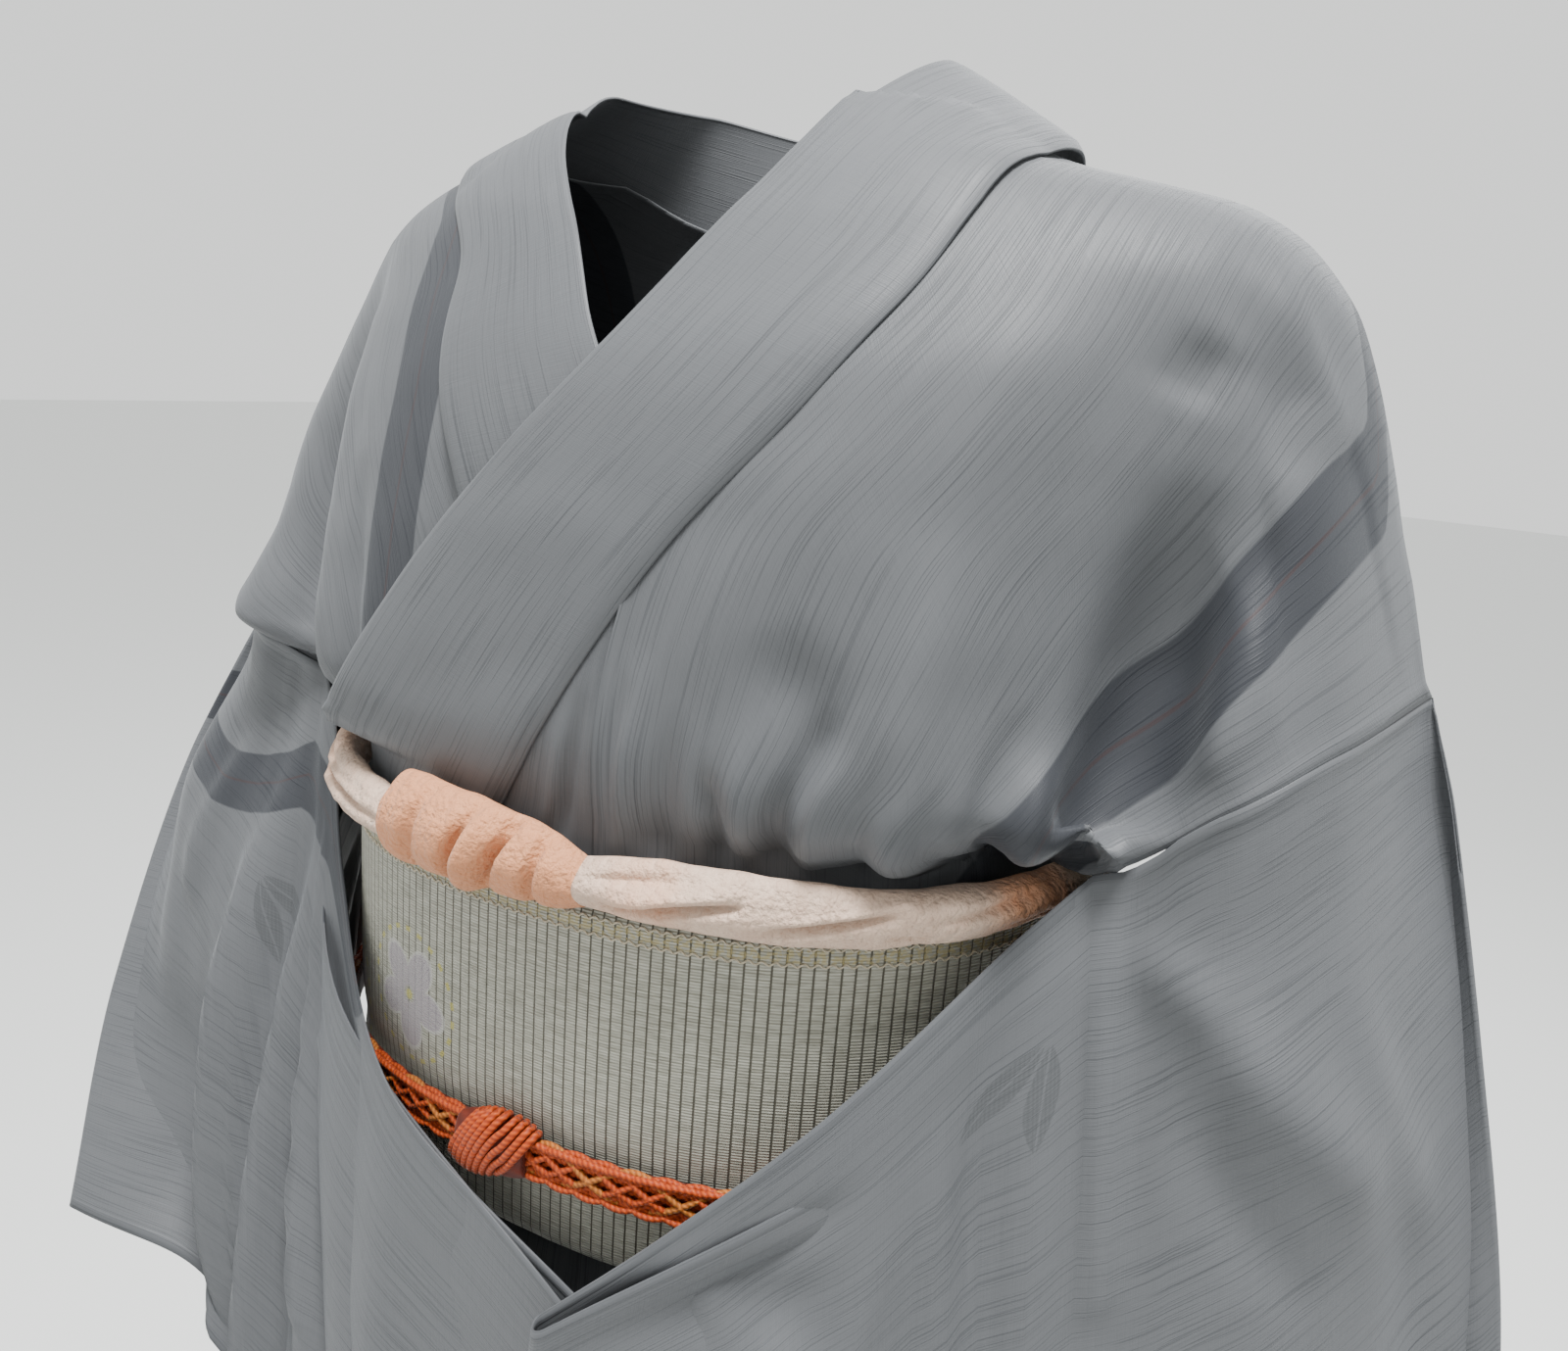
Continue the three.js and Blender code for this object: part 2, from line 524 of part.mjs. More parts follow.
// The sleeves. Each is one length folded at the shoulder line. "at" runs down the ridge, down
// the fold at the bottom, along the free edge under the arm, and along the cuff.
const SLEEVE_DROP = 490;
const SLEEVE_WIDTH = 350;
const SEWN_SHARE = 0.47;
const SLEEVE_HOLLOW = 3.6;
const CUFF_SEWN = 1.75;
const SLEEVES = {
  left: {
    side: SIDES.left,
    ridge: [
      { at: 0, x: 283, y: 15, z: -190 },
      { at: 0.33, x: 318, y: -6, z: -298 },
      { at: 0.66, x: 346, y: -28, z: -405 },
      { at: 1, x: 362, y: -50, z: -524 },
    ],
    fold: [
      { at: 0, x: 50, y: -187, z: -427 },
      { at: 0.5, x: 40, y: -194, z: -600 },
      { at: 1, x: 34, y: -198, z: -775 },
    ],
    freeFront: [
      { at: 0.35, x: 134, y: -134, z: -339 },
      { at: 0.7, x: 88, y: -166, z: -389 },
    ],
    freeBack: [
      { at: 0.3, x: 196, y: -42, z: -310 },
      { at: 0.65, x: 134, y: -126, z: -365 },
    ],
    cuff: [
      { at: 0.28, x: 305, y: -115, z: -618 },
      { at: 0.54, x: 222, y: -166, z: -700 },
      { at: 0.78, x: 126, y: -194, z: -752 },
    ],
    folds: [
      { x1: 232, y1: 4, x2: 250, y2: 200, width: 16, lift: -9 },
      { x1: 262, y1: 10, x2: 300, y2: 260, width: 22, lift: 7 },
      { x1: 470, y1: 10, x2: 330, y2: 60, width: 16, lift: 8 },
      { x1: 420, y1: 0, x2: 330, y2: 90, width: 12, lift: -5 },
      { x1: 190, y1: 30, x2: 60, y2: 150, width: 26, lift: -6 },
      { x1: 150, y1: 180, x2: 40, y2: 300, width: 30, lift: 6 },
      { x1: 330, y1: 200, x2: 360, y2: 350, width: 24, lift: -7 },
      { x1: 200, y1: 230, x2: 230, y2: 350, width: 24, lift: 6 },
    ],
  },
  right: {
    side: SIDES.right,
    ridge: [
      { at: 0, x: -297, y: 15, z: -230 },
      { at: 0.33, x: -323, y: -50, z: -335 },
      { at: 0.66, x: -310, y: -112, z: -448 },
      { at: 1, x: -280, y: -163, z: -548 },
    ],
    fold: [
      { at: 0, x: 58, y: -164, z: -441 },
      { at: 0.5, x: 53, y: -171, z: -610 },
      { at: 1, x: 50, y: -176, z: -788 },
    ],
    freeFront: [
      { at: 0.35, x: -136, y: -112, z: -336 },
      { at: 0.7, x: -52, y: -156, z: -400 },
    ],
    freeBack: [
      { at: 0.3, x: -190, y: -40, z: -312 },
      { at: 0.65, x: -112, y: -128, z: -378 },
    ],
    cuff: [
      { at: 0.22, x: -196, y: -140, z: -574 },
      { at: 0.5, x: -110, y: -190, z: -672 },
      { at: 0.78, x: -20, y: -190, z: -742 },
    ],
    folds: [
      { x1: 215, y1: 60, x2: 130, y2: 350, width: 13, lift: -15 },
      { x1: 245, y1: 50, x2: 165, y2: 350, width: 12, lift: 11 },
      { x1: 268, y1: 60, x2: 205, y2: 350, width: 10, lift: -9 },
      { x1: 290, y1: 60, x2: 245, y2: 350, width: 14, lift: 8 },
      { x1: 300, y1: 90, x2: 320, y2: 330, width: 13, lift: -6 },
      { x1: 120, y1: 60, x2: 60, y2: 200, width: 34, lift: -12 },
      { x1: 100, y1: 200, x2: 70, y2: 330, width: 26, lift: 8 },
      { x1: 400, y1: 40, x2: 380, y2: 330, width: 18, lift: -6 },
    ],
  },
};

function sleeveEdge(start, end, between) {
  const row = (at, p) => ({ at, x: p.x, y: p.y, z: p.z });
  return [row(0, start), ...between, row(1, end)];
}

// The top edge of a sleeve: along the body's outer edge, then free to the bottom fold.
function sleeveTop(sleeve, share, front) {
  const sign = front ? 1 : -1;
  if (share <= SEWN_SHARE) return bodyFace(sleeve.side, 1, (sign * ARMHOLE_END * share) / SEWN_SHARE);
  const start = bodyFace(sleeve.side, 1, sign * ARMHOLE_END);
  const between = front ? sleeve.freeFront : sleeve.freeBack;
  const edge = sleeveEdge(start, curvePoint(sleeve.fold, 0), between);
  return curvePoint(edge, (share - SEWN_SHARE) / (1 - SEWN_SHARE));
}

// One layer of a sleeve, at a share of the drop and a share of the width.
function sleeveLayer(sleeve, share, down, front) {
  const cuff = sleeveEdge(curvePoint(sleeve.ridge, 1), curvePoint(sleeve.fold, 1), sleeve.cuff);
  return patch(
    (t) => sleeveTop(sleeve, t, front),
    (t) => curvePoint(cuff, t),
    (w) => curvePoint(sleeve.ridge, w),
    (w) => curvePoint(sleeve.fold, w),
    share,
    down,
  );
}

function sleeveMiddle(sleeve, share, down) {
  return sleeveLayer(sleeve, share, down, true).lerp(sleeveLayer(sleeve, share, down, false), 0.5);
}

// A point round the sleeve: down the front layer and back up the one behind it.
function sleevePoint(sleeve, around, down) {
  const front = around <= 0.5;
  const run = front ? around * 2 : 2 - around * 2;
  const share = (1 - Math.cos(Math.PI * run)) / 2;
  const step = 0.01;
  const across = sleeveMiddle(sleeve, Math.min(1, share + step), down)
    .sub(sleeveMiddle(sleeve, Math.max(0, share - step), down));
  const along = sleeveMiddle(sleeve, share, Math.min(1, down + step))
    .sub(sleeveMiddle(sleeve, share, Math.max(0, down - step)));
  const normal = along.cross(across).normalize().multiplyScalar(sleeve.side.sign);
  const tip = Math.min(share, 1 - share) * SLEEVE_DROP;
  const cap = tip < SLEEVE_HOLLOW ? Math.sqrt(1 - (1 - tip / SLEEVE_HOLLOW) ** 2) : 1;
  const cuffSewn = smooth(0.42, 0.5, share) * smooth(0.9, 1, down);
  const open = Math.max(smooth(0, 0.12, down), smooth(SEWN_SHARE, SEWN_SHARE + 0.06, share));
  const half = mix(SLEEVE_HOLLOW, CUFF_SEWN, cuffSewn) * cap * open;
  const rise = smooth(0, 0.1, down) * smooth(0, 0.06, share);
  const lift = foldLift(sleeve.folds, share * SLEEVE_DROP, down * SLEEVE_WIDTH) * rise;
  const point = sleeveLayer(sleeve, share, down, front);
  return point.addScaledVector(normal, lift + (front ? half : -half));
}

function sleeve(name, shape) {
  const start = SLEEVE_GAP / SLEEVE_WIDTH;
  const face = (i, j) => sleevePoint(shape, i, mix(start, 1, j));
  return clothMesh(name, CLOTH, face, 40, 12, WALL * shape.side.sign, true);
}

// The skirt: ring sectors from under the tuck to the hem. Inside the tuck each hangs close to
// the form, and below it the left front lies over the right.
const SKIRT_ROWS = [-462, -504, -528, -560, -640, -740, -860, -990, -1120, -1230, HEM];
const SKIRT_GAP = 0.15;
const SKIRT_LAYERS = {
  over: { inTuck: -0.8, below: 5.6 },
  under: { inTuck: -3.2, below: 1.6 },
  side: { inTuck: -2, below: 1.6 },
};
const SKIRT = [
  { name: 'skirt_front_left', from: 5.9, to: SIDE_SEAM, layer: SKIRT_LAYERS.over, columns: 8 },
  { name: 'skirt_overlap_left', from: -50, to: 5.9, layer: SKIRT_LAYERS.over, columns: 6 },
  { name: 'skirt_back_left', from: SIDE_SEAM, to: 180, layer: SKIRT_LAYERS.side, columns: 9 },
  { name: 'skirt_back_right', from: 180, to: 360 - SIDE_SEAM, layer: SKIRT_LAYERS.side, columns: 9 },
  { name: 'skirt_front_right', from: -SIDE_SEAM, to: -1.8, layer: SKIRT_LAYERS.under, columns: 8 },
  { name: 'skirt_overlap_right', from: -1.8, to: 50, layer: SKIRT_LAYERS.under, columns: 6 },
];

function skirtPanel({ name, from, to, layer, columns }) {
  const face = (i, j) => {
    const z = rowsOf(SKIRT_ROWS, j);
    const angle = mix(from + SKIRT_GAP, to - SKIRT_GAP, i);
    const toSide = smooth(45, SIDE_SEAM, Math.abs(angle));
    const below = 1 - smooth(-575, TUCK_BOTTOM, z);
    const own = mix(layer.inTuck, layer.below, below);
    const side = mix(SKIRT_LAYERS.side.inTuck, SKIRT_LAYERS.side.below, below);
    return ringPoint(angle, z, mix(own, side, toSide));
  };
  return clothMesh(name, CLOTH, face, columns, SKIRT_ROWS.length - 1, -WALL);
}

// The level of the sash's top edge at a place, which rises to the left.
function sashZ(x, z) {
  return z + OBI_RISE * x;
}

// A point outside the sash's own level ring, at any height.
function sashPoint(degrees, z, layer) {
  const point = ringPoint(degrees, OBI_TOP, layer);
  point.z = sashZ(point.x, z);
  return point;
}

function obiBand() {
  const face = (i, j) => {
    const belly = Math.sin(Math.PI * j);
    return sashPoint(i * 360, OBI_TOP - j * OBI_HEIGHT, OBI_LAYER + belly);
  };
  return clothMesh('obi_band', SASH, face, 48, 2, -SASH_WALL, true);
}

// What hangs on the sash behind: strips across the back, each through a side view of its own.
const BACK_HALF_WIDTH = 150;
const DRUM = [
  { at: 0, z: -306, layer: 22 },
  { at: 0.05, z: -272, layer: 22.5 },
  { at: 0.11, z: -252, layer: 34 },
  { at: 0.16, z: -246, layer: 50 },
  { at: 0.22, z: -258, layer: 68 },
  { at: 0.3, z: -300, layer: 78 },
  { at: 0.45, z: -390, layer: 84 },
  { at: 0.6, z: -480, layer: 80 },
  { at: 0.7, z: -530, layer: 66 },
  { at: 0.75, z: -543, layer: 52 },
  { at: 0.8, z: -534, layer: 36 },
  { at: 0.86, z: -500, layer: 25.5 },
  { at: 1, z: -420, layer: 24.9 },
];
const DRUM_ROWS = [0, 0.05, 0.11, 0.16, 0.22, 0.3, 0.45, 0.6, 0.7, 0.75, 0.8, 0.86, 1];
const TAIL = [
  { at: 0, z: -424, layer: 20.8 },
  { at: 0.4, z: -500, layer: 20.8 },
  { at: 0.6, z: -540, layer: 28 },
  { at: 1, z: -622, layer: 44 },
];
const TAIL_ROWS = [0, 0.4, 0.6, 1];
const HAND = [
  { at: 0, z: -345, layer: 33.5 },
  { at: 1, z: -500, layer: 33.5 },
];
const HAND_HALF_WIDTH = 165;

function backPoint(profile, halfWidth, across, along) {
  const layer = read(profile, 'at', along, 'layer');
  const half = read(FORM, 'z', OBI_TOP, 'left') + layer;
  const depth = read(FORM, 'z', OBI_TOP, 'back') - RIDGE_Y + layer;
  const x = mix(-halfWidth, halfWidth, across);
  const share = (1 - Math.abs(x / half) ** ROUNDNESS) ** (1 / ROUNDNESS);
  return new THREE.Vector3(x, RIDGE_Y + depth * share, sashZ(x, read(profile, 'at', along, 'z')));
}

function backStrip(name, profile, halfWidth, columns, rows) {
  const face = (i, j) => backPoint(profile, halfWidth, i, rowsOf(rows, j));
  return clothMesh(name, SASH, face, columns, rows.length - 1, SASH_WALL);
}

// A soft roll round the body between two angles: its section at each place along it.
function roll(name, material, stations, around, rows, twist = 0) {
  const face = (i, j) => {
    const value = (column) => read(stations, 'at', j, column);
    const turn = 2 * Math.PI * i;
    const sway = 1 + 0.07 * Math.cos(3 * turn + twist * j);
    const layer = value('layer') + value('depth') * Math.cos(turn) * sway;
    const rise = value('height') * Math.sin(turn) * sway;
    return sashPoint(value('angle'), OBI_TOP + value('z') + rise, layer);
  };
  return rollMesh(name, material, face, around, rows);
}

// The scarf over the sash's top edge: a stretch on each side, the knot, and the roll behind.
const SCARF_STRETCHES = [
  {
    name: 'obiage_left',
    material: SCARF,
    rows: 26,
    twist: 9,
    stations: [
      { at: 0, angle: 9.5, layer: 23, depth: 8, height: 9, z: 12 },
      { at: 0.1, angle: 18, layer: 23, depth: 9, height: 12, z: 13.5 },
      { at: 0.5, angle: 52, layer: 22.4, depth: 8.6, height: 10, z: 10.5 },
      { at: 0.8, angle: 84, layer: 20.5, depth: 8, height: 8.5, z: 7.5 },
      { at: 1, angle: 103, layer: 20.5, depth: 7.5, height: 8.5, z: 8 },
    ],
  },
  {
    name: 'obiage_right',
    material: SCARF,
    rows: 20,
    twist: 7,
    stations: [
      { at: 0, angle: -27.15, layer: 23, depth: 8, height: 10, z: 12 },
      { at: 0.2, angle: -40, layer: 22.6, depth: 8.5, height: 12, z: 13.5 },
      { at: 0.7, angle: -78, layer: 21, depth: 8, height: 10, z: 10.5 },
      { at: 1, angle: -103, layer: 20.5, depth: 7.5, height: 8.5, z: 8 },
    ],
  },
  {
    name: 'obiage_knot',
    material: SCARF_KNOT,
    rows: 9,
    twist: 0,
    stations: [
      { at: 0, angle: -27, layer: 24, depth: 8, height: 13, z: 14 },
      { at: 0.2, angle: -22, layer: 25.5, depth: 10.5, height: 19, z: 19.5 },
      { at: 0.55, angle: -9, layer: 26, depth: 11.5, height: 18, z: 18.5 },
      { at: 0.85, angle: 4, layer: 25, depth: 10, height: 14, z: 14.5 },
      { at: 1, angle: 9, layer: 23.5, depth: 7, height: 9, z: 11.5 },
    ],
  },
  {
    name: 'obiage_back',
    material: SCARF,
    rows: 20,
    twist: 0,
    stations: [
      { at: 0, angle: 103.4, layer: 20.5, depth: 7.5, height: 8.5, z: 8 },
      { at: 0.12, angle: 116, layer: 30, depth: 9, height: 11, z: 12 },
      { at: 0.24, angle: 130, layer: 43, depth: 14, height: 17, z: 14 },
      { at: 0.5, angle: 180, layer: 45, depth: 15, height: 19, z: 14 },
      { at: 0.76, angle: 230, layer: 43, depth: 14, height: 17, z: 14 },
      { at: 0.88, angle: 244, layer: 30, depth: 9, height: 11, z: 12 },
      { at: 1, angle: 256.6, layer: 20.5, depth: 7.5, height: 8.5, z: 8 },
    ],
  },
];

// The cord over the sash, from its knot in front to the middle of the back.
const CORD_DROP = -111;
const CORD_STRETCHES = [
  {
    name: 'obijime_left',
    rows: 32,
    stations: [
      { at: 0, angle: 1.6, layer: 22, depth: 4.2, height: 9, z: CORD_DROP },
      { at: 0.52, angle: 94, layer: 22.4, depth: 4.2, height: 9, z: CORD_DROP },
      { at: 0.66, angle: 118, layer: 38, depth: 4.2, height: 9, z: CORD_DROP },
      { at: 1, angle: 179.9, layer: 38, depth: 4.2, height: 9, z: CORD_DROP },
    ],
  },
  {
    name: 'obijime_right',
    rows: 32,
    stations: [
      { at: 0, angle: -9.2, layer: 22, depth: 4.2, height: 9, z: CORD_DROP },
      { at: 0.52, angle: -94, layer: 22.4, depth: 4.2, height: 9, z: CORD_DROP },
      { at: 0.66, angle: -118, layer: 38, depth: 4.2, height: 9, z: CORD_DROP },
      { at: 1, angle: -179.9, layer: 38, depth: 4.2, height: 9, z: CORD_DROP },
    ],
  },
  {
    name: 'obijime_knot',
    rows: 6,
    stations: [
      { at: 0, angle: -9, layer: 24, depth: 5, height: 10, z: CORD_DROP },
      { at: 0.25, angle: -7.4, layer: 26.4, depth: 8.4, height: 15, z: CORD_DROP + 1 },
      { at: 0.75, angle: -0.4, layer: 26.4, depth: 8.4, height: 15, z: CORD_DROP - 1 },
      { at: 1, angle: 1.4, layer: 24, depth: 5, height: 10, z: CORD_DROP },
    ],
  },
];

const kimono = new THREE.Group();
kimono.add(bodyPanel('body_left', SIDES.left));
kimono.add(bodyPanel('body_right', SIDES.right));
kimono.add(overlapPanel('overlap_left', OVERLAPS.left));
kimono.add(overlapPanel('overlap_right', OVERLAPS.right));
kimono.add(collar());
kimono.add(sleeve('sleeve_left', SLEEVES.left));
kimono.add(sleeve('sleeve_right', SLEEVES.right));
for (const panel of SKIRT) kimono.add(skirtPanel(panel));
kimono.add(obiBand());
kimono.add(backStrip('obi_drum', DRUM, BACK_HALF_WIDTH, 10, DRUM_ROWS));
kimono.add(backStrip('obi_tail', TAIL, BACK_HALF_WIDTH, 12, TAIL_ROWS));
kimono.add(backStrip('obi_hand', HAND, HAND_HALF_WIDTH, 12, [0, 1]));
for (const piece of SCARF_STRETCHES) {
  kimono.add(roll(piece.name, piece.material, piece.stations, 10, piece.rows, piece.twist));
}
for (const piece of CORD_STRETCHES) {
  kimono.add(roll(piece.name, CORD, piece.stations, 6, piece.rows));
}

export default kimono;
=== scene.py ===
"""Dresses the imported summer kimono: slubbed cloth, ribbed sash, crinkled scarf and open cord.

Shapes are worked out in millimetres from the garment's own sizes, as in the CAD part, and become
metres when a mesh is made. The front faces -Y and the wearer's left is +X.
"""

import logging
import math
from dataclasses import dataclass, field
from enum import Enum
from functools import lru_cache
from typing import Any, Callable, Optional, Union

import bmesh
import bpy
import numpy as np
from mathutils import Matrix, Vector


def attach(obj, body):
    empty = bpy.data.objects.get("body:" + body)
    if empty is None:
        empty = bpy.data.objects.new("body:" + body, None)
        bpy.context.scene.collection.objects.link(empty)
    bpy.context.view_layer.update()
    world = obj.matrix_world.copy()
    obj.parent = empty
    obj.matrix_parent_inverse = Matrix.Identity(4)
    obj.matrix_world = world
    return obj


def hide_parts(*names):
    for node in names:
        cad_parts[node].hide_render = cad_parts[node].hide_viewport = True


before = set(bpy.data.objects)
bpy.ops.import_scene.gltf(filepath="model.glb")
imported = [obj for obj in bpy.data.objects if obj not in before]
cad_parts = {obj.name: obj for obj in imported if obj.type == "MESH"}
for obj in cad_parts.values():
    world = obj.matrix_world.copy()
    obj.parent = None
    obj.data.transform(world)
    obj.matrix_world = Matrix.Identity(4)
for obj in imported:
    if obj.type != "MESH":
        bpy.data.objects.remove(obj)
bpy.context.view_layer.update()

MM = 0.001
LOG = logging.getLogger("kimono")

Array = np.ndarray
Piece = bpy.types.Object
Material = bpy.types.Material
Color = tuple[float, float, float]


# ---------------------------------------------------------------- small maths


def mix(a: Any, b: Any, t: Any) -> Any:
    """The value between a and b at share t."""
    return a + (b - a) * t


def smooth(low: float, high: float, x: Any) -> Any:
    """0 at low and 1 at high, with a soft start and end."""
    t = np.clip((x - low) / (high - low), 0, 1)
    return t * t * (3 - 2 * t)


def bell(x: Any, width: Any) -> Any:
    """1 at 0 and near 0 beyond about twice the width."""
    return np.exp(-((x / width) ** 2))


def eased(x: Any) -> Any:
    """A share from 0 to 1 that runs slowly at both ends."""
    return (1 - np.cos(np.pi * x)) / 2


def places(x: Any, y: Any, z: Any) -> Array:
    """Points from their three coordinates, which may be numbers or arrays."""
    return np.stack(np.broadcast_arrays(x, y, z), axis=-1).astype(float)


def unit(vectors: Array) -> Array:
    """The vectors, each made one long."""
    length = np.linalg.norm(vectors, axis=-1, keepdims=True)
    return vectors / np.maximum(length, 1e-9)


def choose(which: Array, first: Array, second: Array) -> Array:
    """The points of first where which holds, and of second elsewhere."""
    return np.where(np.asarray(which)[..., None], first, second)


def uneven(x: Array, y: Array, size: float) -> Array:
    """A gentle unevenness from -1 to 1, with swells about size apart, the same on every run.

    Args:
        x: One coordinate of each place.
        y: The other.
        size: How far apart the swells lie.

    Returns:
        The unevenness at each place.
    """
    a = x / size
    b = y / size
    return (
        np.sin(2.1 * a + 1.3 * b)
        + np.sin(-1.2 * a + 2.3 * b + 1.7)
        + np.sin(3.1 * a - 0.7 * b + 0.6)
    ) / 3


class Table:
    """Rows of named values, read between their keys by a smooth line with no overshoot."""

    def __init__(self, names: str, *rows: tuple[float, ...]) -> None:
        """Keeps the rows.

        Args:
            names: The columns' names, the key first.
            rows: One tuple of values a row, with keys that run up or down.
        """
        columns = np.array(rows, float).T
        self.direction = -1 if columns[0][-1] < columns[0][0] else 1
        self.keys = columns[0] * self.direction
        self.columns = dict(zip(names.split()[1:], columns[1:]))

    def read(self, column: str, at: Any) -> Array:
        """The column's value at each key.

        Args:
            column: The column's name.
            at: The keys.

        Returns:
            The values, in the shape of at.
        """
        values = self.columns[column]
        x = np.clip(np.asarray(at, float) * self.direction, self.keys[0], self.keys[-1])
        row = np.clip(np.searchsorted(self.keys, x) - 1, 0, len(self.keys) - 2)
        width = np.diff(self.keys)
        slope = np.diff(values) / width
        before, after = slope[:-1], slope[1:]
        turns = before * after <= 0
        shared = 2 * before * after / np.where(turns, 1, before + after)
        tangent = np.concatenate([slope[:1], np.where(turns, 0, shared), slope[-1:]])
        span = width[row]
        t = (x - self.keys[row]) / span
        t2, t3 = t * t, t * t * t
        return (
            (2 * t3 - 3 * t2 + 1) * values[row]
            + (t3 - 2 * t2 + t) * span * tangent[row]
            + (3 * t2 - 2 * t3) * values[row + 1]
            + (t3 - t2) * span * tangent[row + 1]
        )

    def point(self, at: Any, prefix: str = "") -> Array:
        """The point whose x, y and z columns are read at each key."""
        return places(*(self.read(prefix + axis, at) for axis in "xyz"))


@dataclass(frozen=True)
class Fold:
    """One soft ridge, or a trough where its lift is negative, between two places on the cloth."""

    x1: float
    y1: float
    x2: float
    y2: float
    width: float
    lift: float

    def height(self, x: Array, y: Array) -> Array:
        """How far the fold lifts the cloth at each place.

        Args:
            x: One coordinate of each place.
            y: The other.

        Returns:
            The lift at each place.
        """
        dx, dy = self.x2 - self.x1, self.y2 - self.y1
        along = ((x - self.x1) * dx + (y - self.y1) * dy) / (dx * dx + dy * dy)
        t = np.clip(along, 0, 1)
        away = np.hypot(x - self.x1 - t * dx, y - self.y1 - t * dy)
        fade = smooth(-0.2, 0.45, along) * smooth(1.35, 0.8, along)
        return self.lift * fade * bell(away, self.width)


def folds(*rows: tuple[float, ...]) -> tuple[Fold, ...]:
    """The folds whose values the rows state."""
    return tuple(Fold(*row) for row in rows)


def folded(creases: tuple[Fold, ...], x: Array, y: Array) -> Array:
    """The lift of all the folds together at each place."""
    return sum((fold.height(x, y) for fold in creases), np.zeros(np.broadcast(x, y).shape))


# ---------------------------------------------------------------- meshes


@dataclass
class Sheet:
    """A grid of points in millimetres, with its weave and what its finish reads."""

    name: str
    spots: Array
    weave: Array
    marks: dict[str, Array] = field(default_factory=dict)
    rolled: bool = False
    flipped: bool = False

    def normals(self) -> Array:
        """The grid's outward directions.

        Returns:
            The directions, one long.
        """
        across = np.gradient(self.spots, axis=1)
        if self.rolled:
            ends = self.spots[:, 1] - self.spots[:, -2]
            across[:, 0] = across[:, -1] = ends
        along = np.gradient(self.spots, axis=0)
        return unit(np.cross(across, along)) * (-1 if self.flipped else 1)

    def lifted(self, lift: Array) -> "Sheet":
        """Moves each point out by its lift, and returns the sheet."""
        self.spots = self.spots + self.normals() * lift[..., None]
        return self

    def build(self) -> Piece:
        """Makes the mesh from a bmesh grid and links its object.

        Returns:
            The new object, at the origin, smooth shaded.
        """
        rows, columns = self.spots.shape[:2]
        bm = bmesh.new()
        bmesh.ops.create_grid(bm, x_segments=columns - 1, y_segments=rows - 1, size=0.5)
        bm.verts.index_update()
        weave = self.weave.reshape(-1, 2) * MM
        cloth = bm.loops.layers.uv.new("Cloth")
        for face in bm.faces:
            face.smooth = True
            for loop in face.loops:
                loop[cloth].uv = weave[loop.vert.index]
        for mark, values in self.marks.items():
            if values.ndim == 3:
                layer = bm.verts.layers.float_vector.new(mark)
                values = [Vector(value) for value in values.reshape(-1, 3)]
            else:
                layer = bm.verts.layers.float.new(mark)
                values = values.reshape(-1)
            for vert, value in zip(bm.verts, values):
                vert[layer] = value
        for vert, spot in zip(bm.verts, self.spots.reshape(-1, 3) * MM):
            vert.co = spot
        if self.rolled:
            bmesh.ops.remove_doubles(bm, verts=bm.verts, dist=1e-6)
        if self.flipped:
            bmesh.ops.reverse_faces(bm, faces=bm.faces)
        return linked(self.name, bm)


def linked(name: str, bm: bmesh.types.BMesh) -> Piece:
    """Turns a bmesh into a linked object.

    Args:
        name: The object's name.
        bm: The finished bmesh, which is freed.

    Returns:
        The new object.
    """
    mesh = bpy.data.meshes.new(name)
    bm.to_mesh(mesh)
    bm.free()
    piece = bpy.data.objects.new(name, mesh)
    bpy.context.scene.collection.objects.link(piece)
    return piece


def capped(piece: Piece) -> Piece:
    """Closes the open ends of a rolled piece and turns its faces outwards.

    Args:
        piece: The rolled piece.

    Returns:
        The same object, closed.
    """
    bm = bmesh.new()
    bm.from_mesh(piece.data)
    rims = [edge for edge in bm.edges if edge.is_boundary]
    bmesh.ops.holes_fill(bm, edges=rims, sides=0)
    bmesh.ops.recalc_face_normals(bm, faces=bm.faces)
    bm.to_mesh(piece.data)
    bm.free()
    return piece


def joined(name: str, parts: list[Piece]) -> Piece:
    """Joins small pieces into one object.

    Args:
        name: The joined object's name.
        parts: The pieces, all at the origin.

    Returns:
        The one object that is left.
    """
    bm = bmesh.new()
    for part in parts:
        bm.from_mesh(part.data)
        bpy.data.objects.remove(part)
    for face in bm.faces:
        face.smooth = True
    return linked(name, bm)


def walled(piece: Piece, thickness: float) -> Piece:
    """Gives a sheet its thickness, inwards, in millimetres.

    Args:
        piece: The sheet.
        thickness: The thickness in millimetres.

    Returns:
        The same object.
    """
    wall = piece.modifiers.new("Cloth wall", "SOLIDIFY")
    wall.thickness = thickness * MM
    wall.offset = -1
    return piece


def dressed(
    piece: Piece,
    material: Material,
    nodes: tuple[str, ...] = (),
) -> Piece:
    """Gives a piece its finish and its place in the frame.

    Args:
        piece: The finished object.
        material: Its material.
        nodes: The CAD nodes that it stands for.

    Returns:
        The same object.
    """
    piece.data.materials.append(material)
    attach(piece, "root")
    if nodes:
        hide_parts(*nodes)
    LOG.info("%s: %d faces", piece.name, len(piece.data.polygons))
    return piece


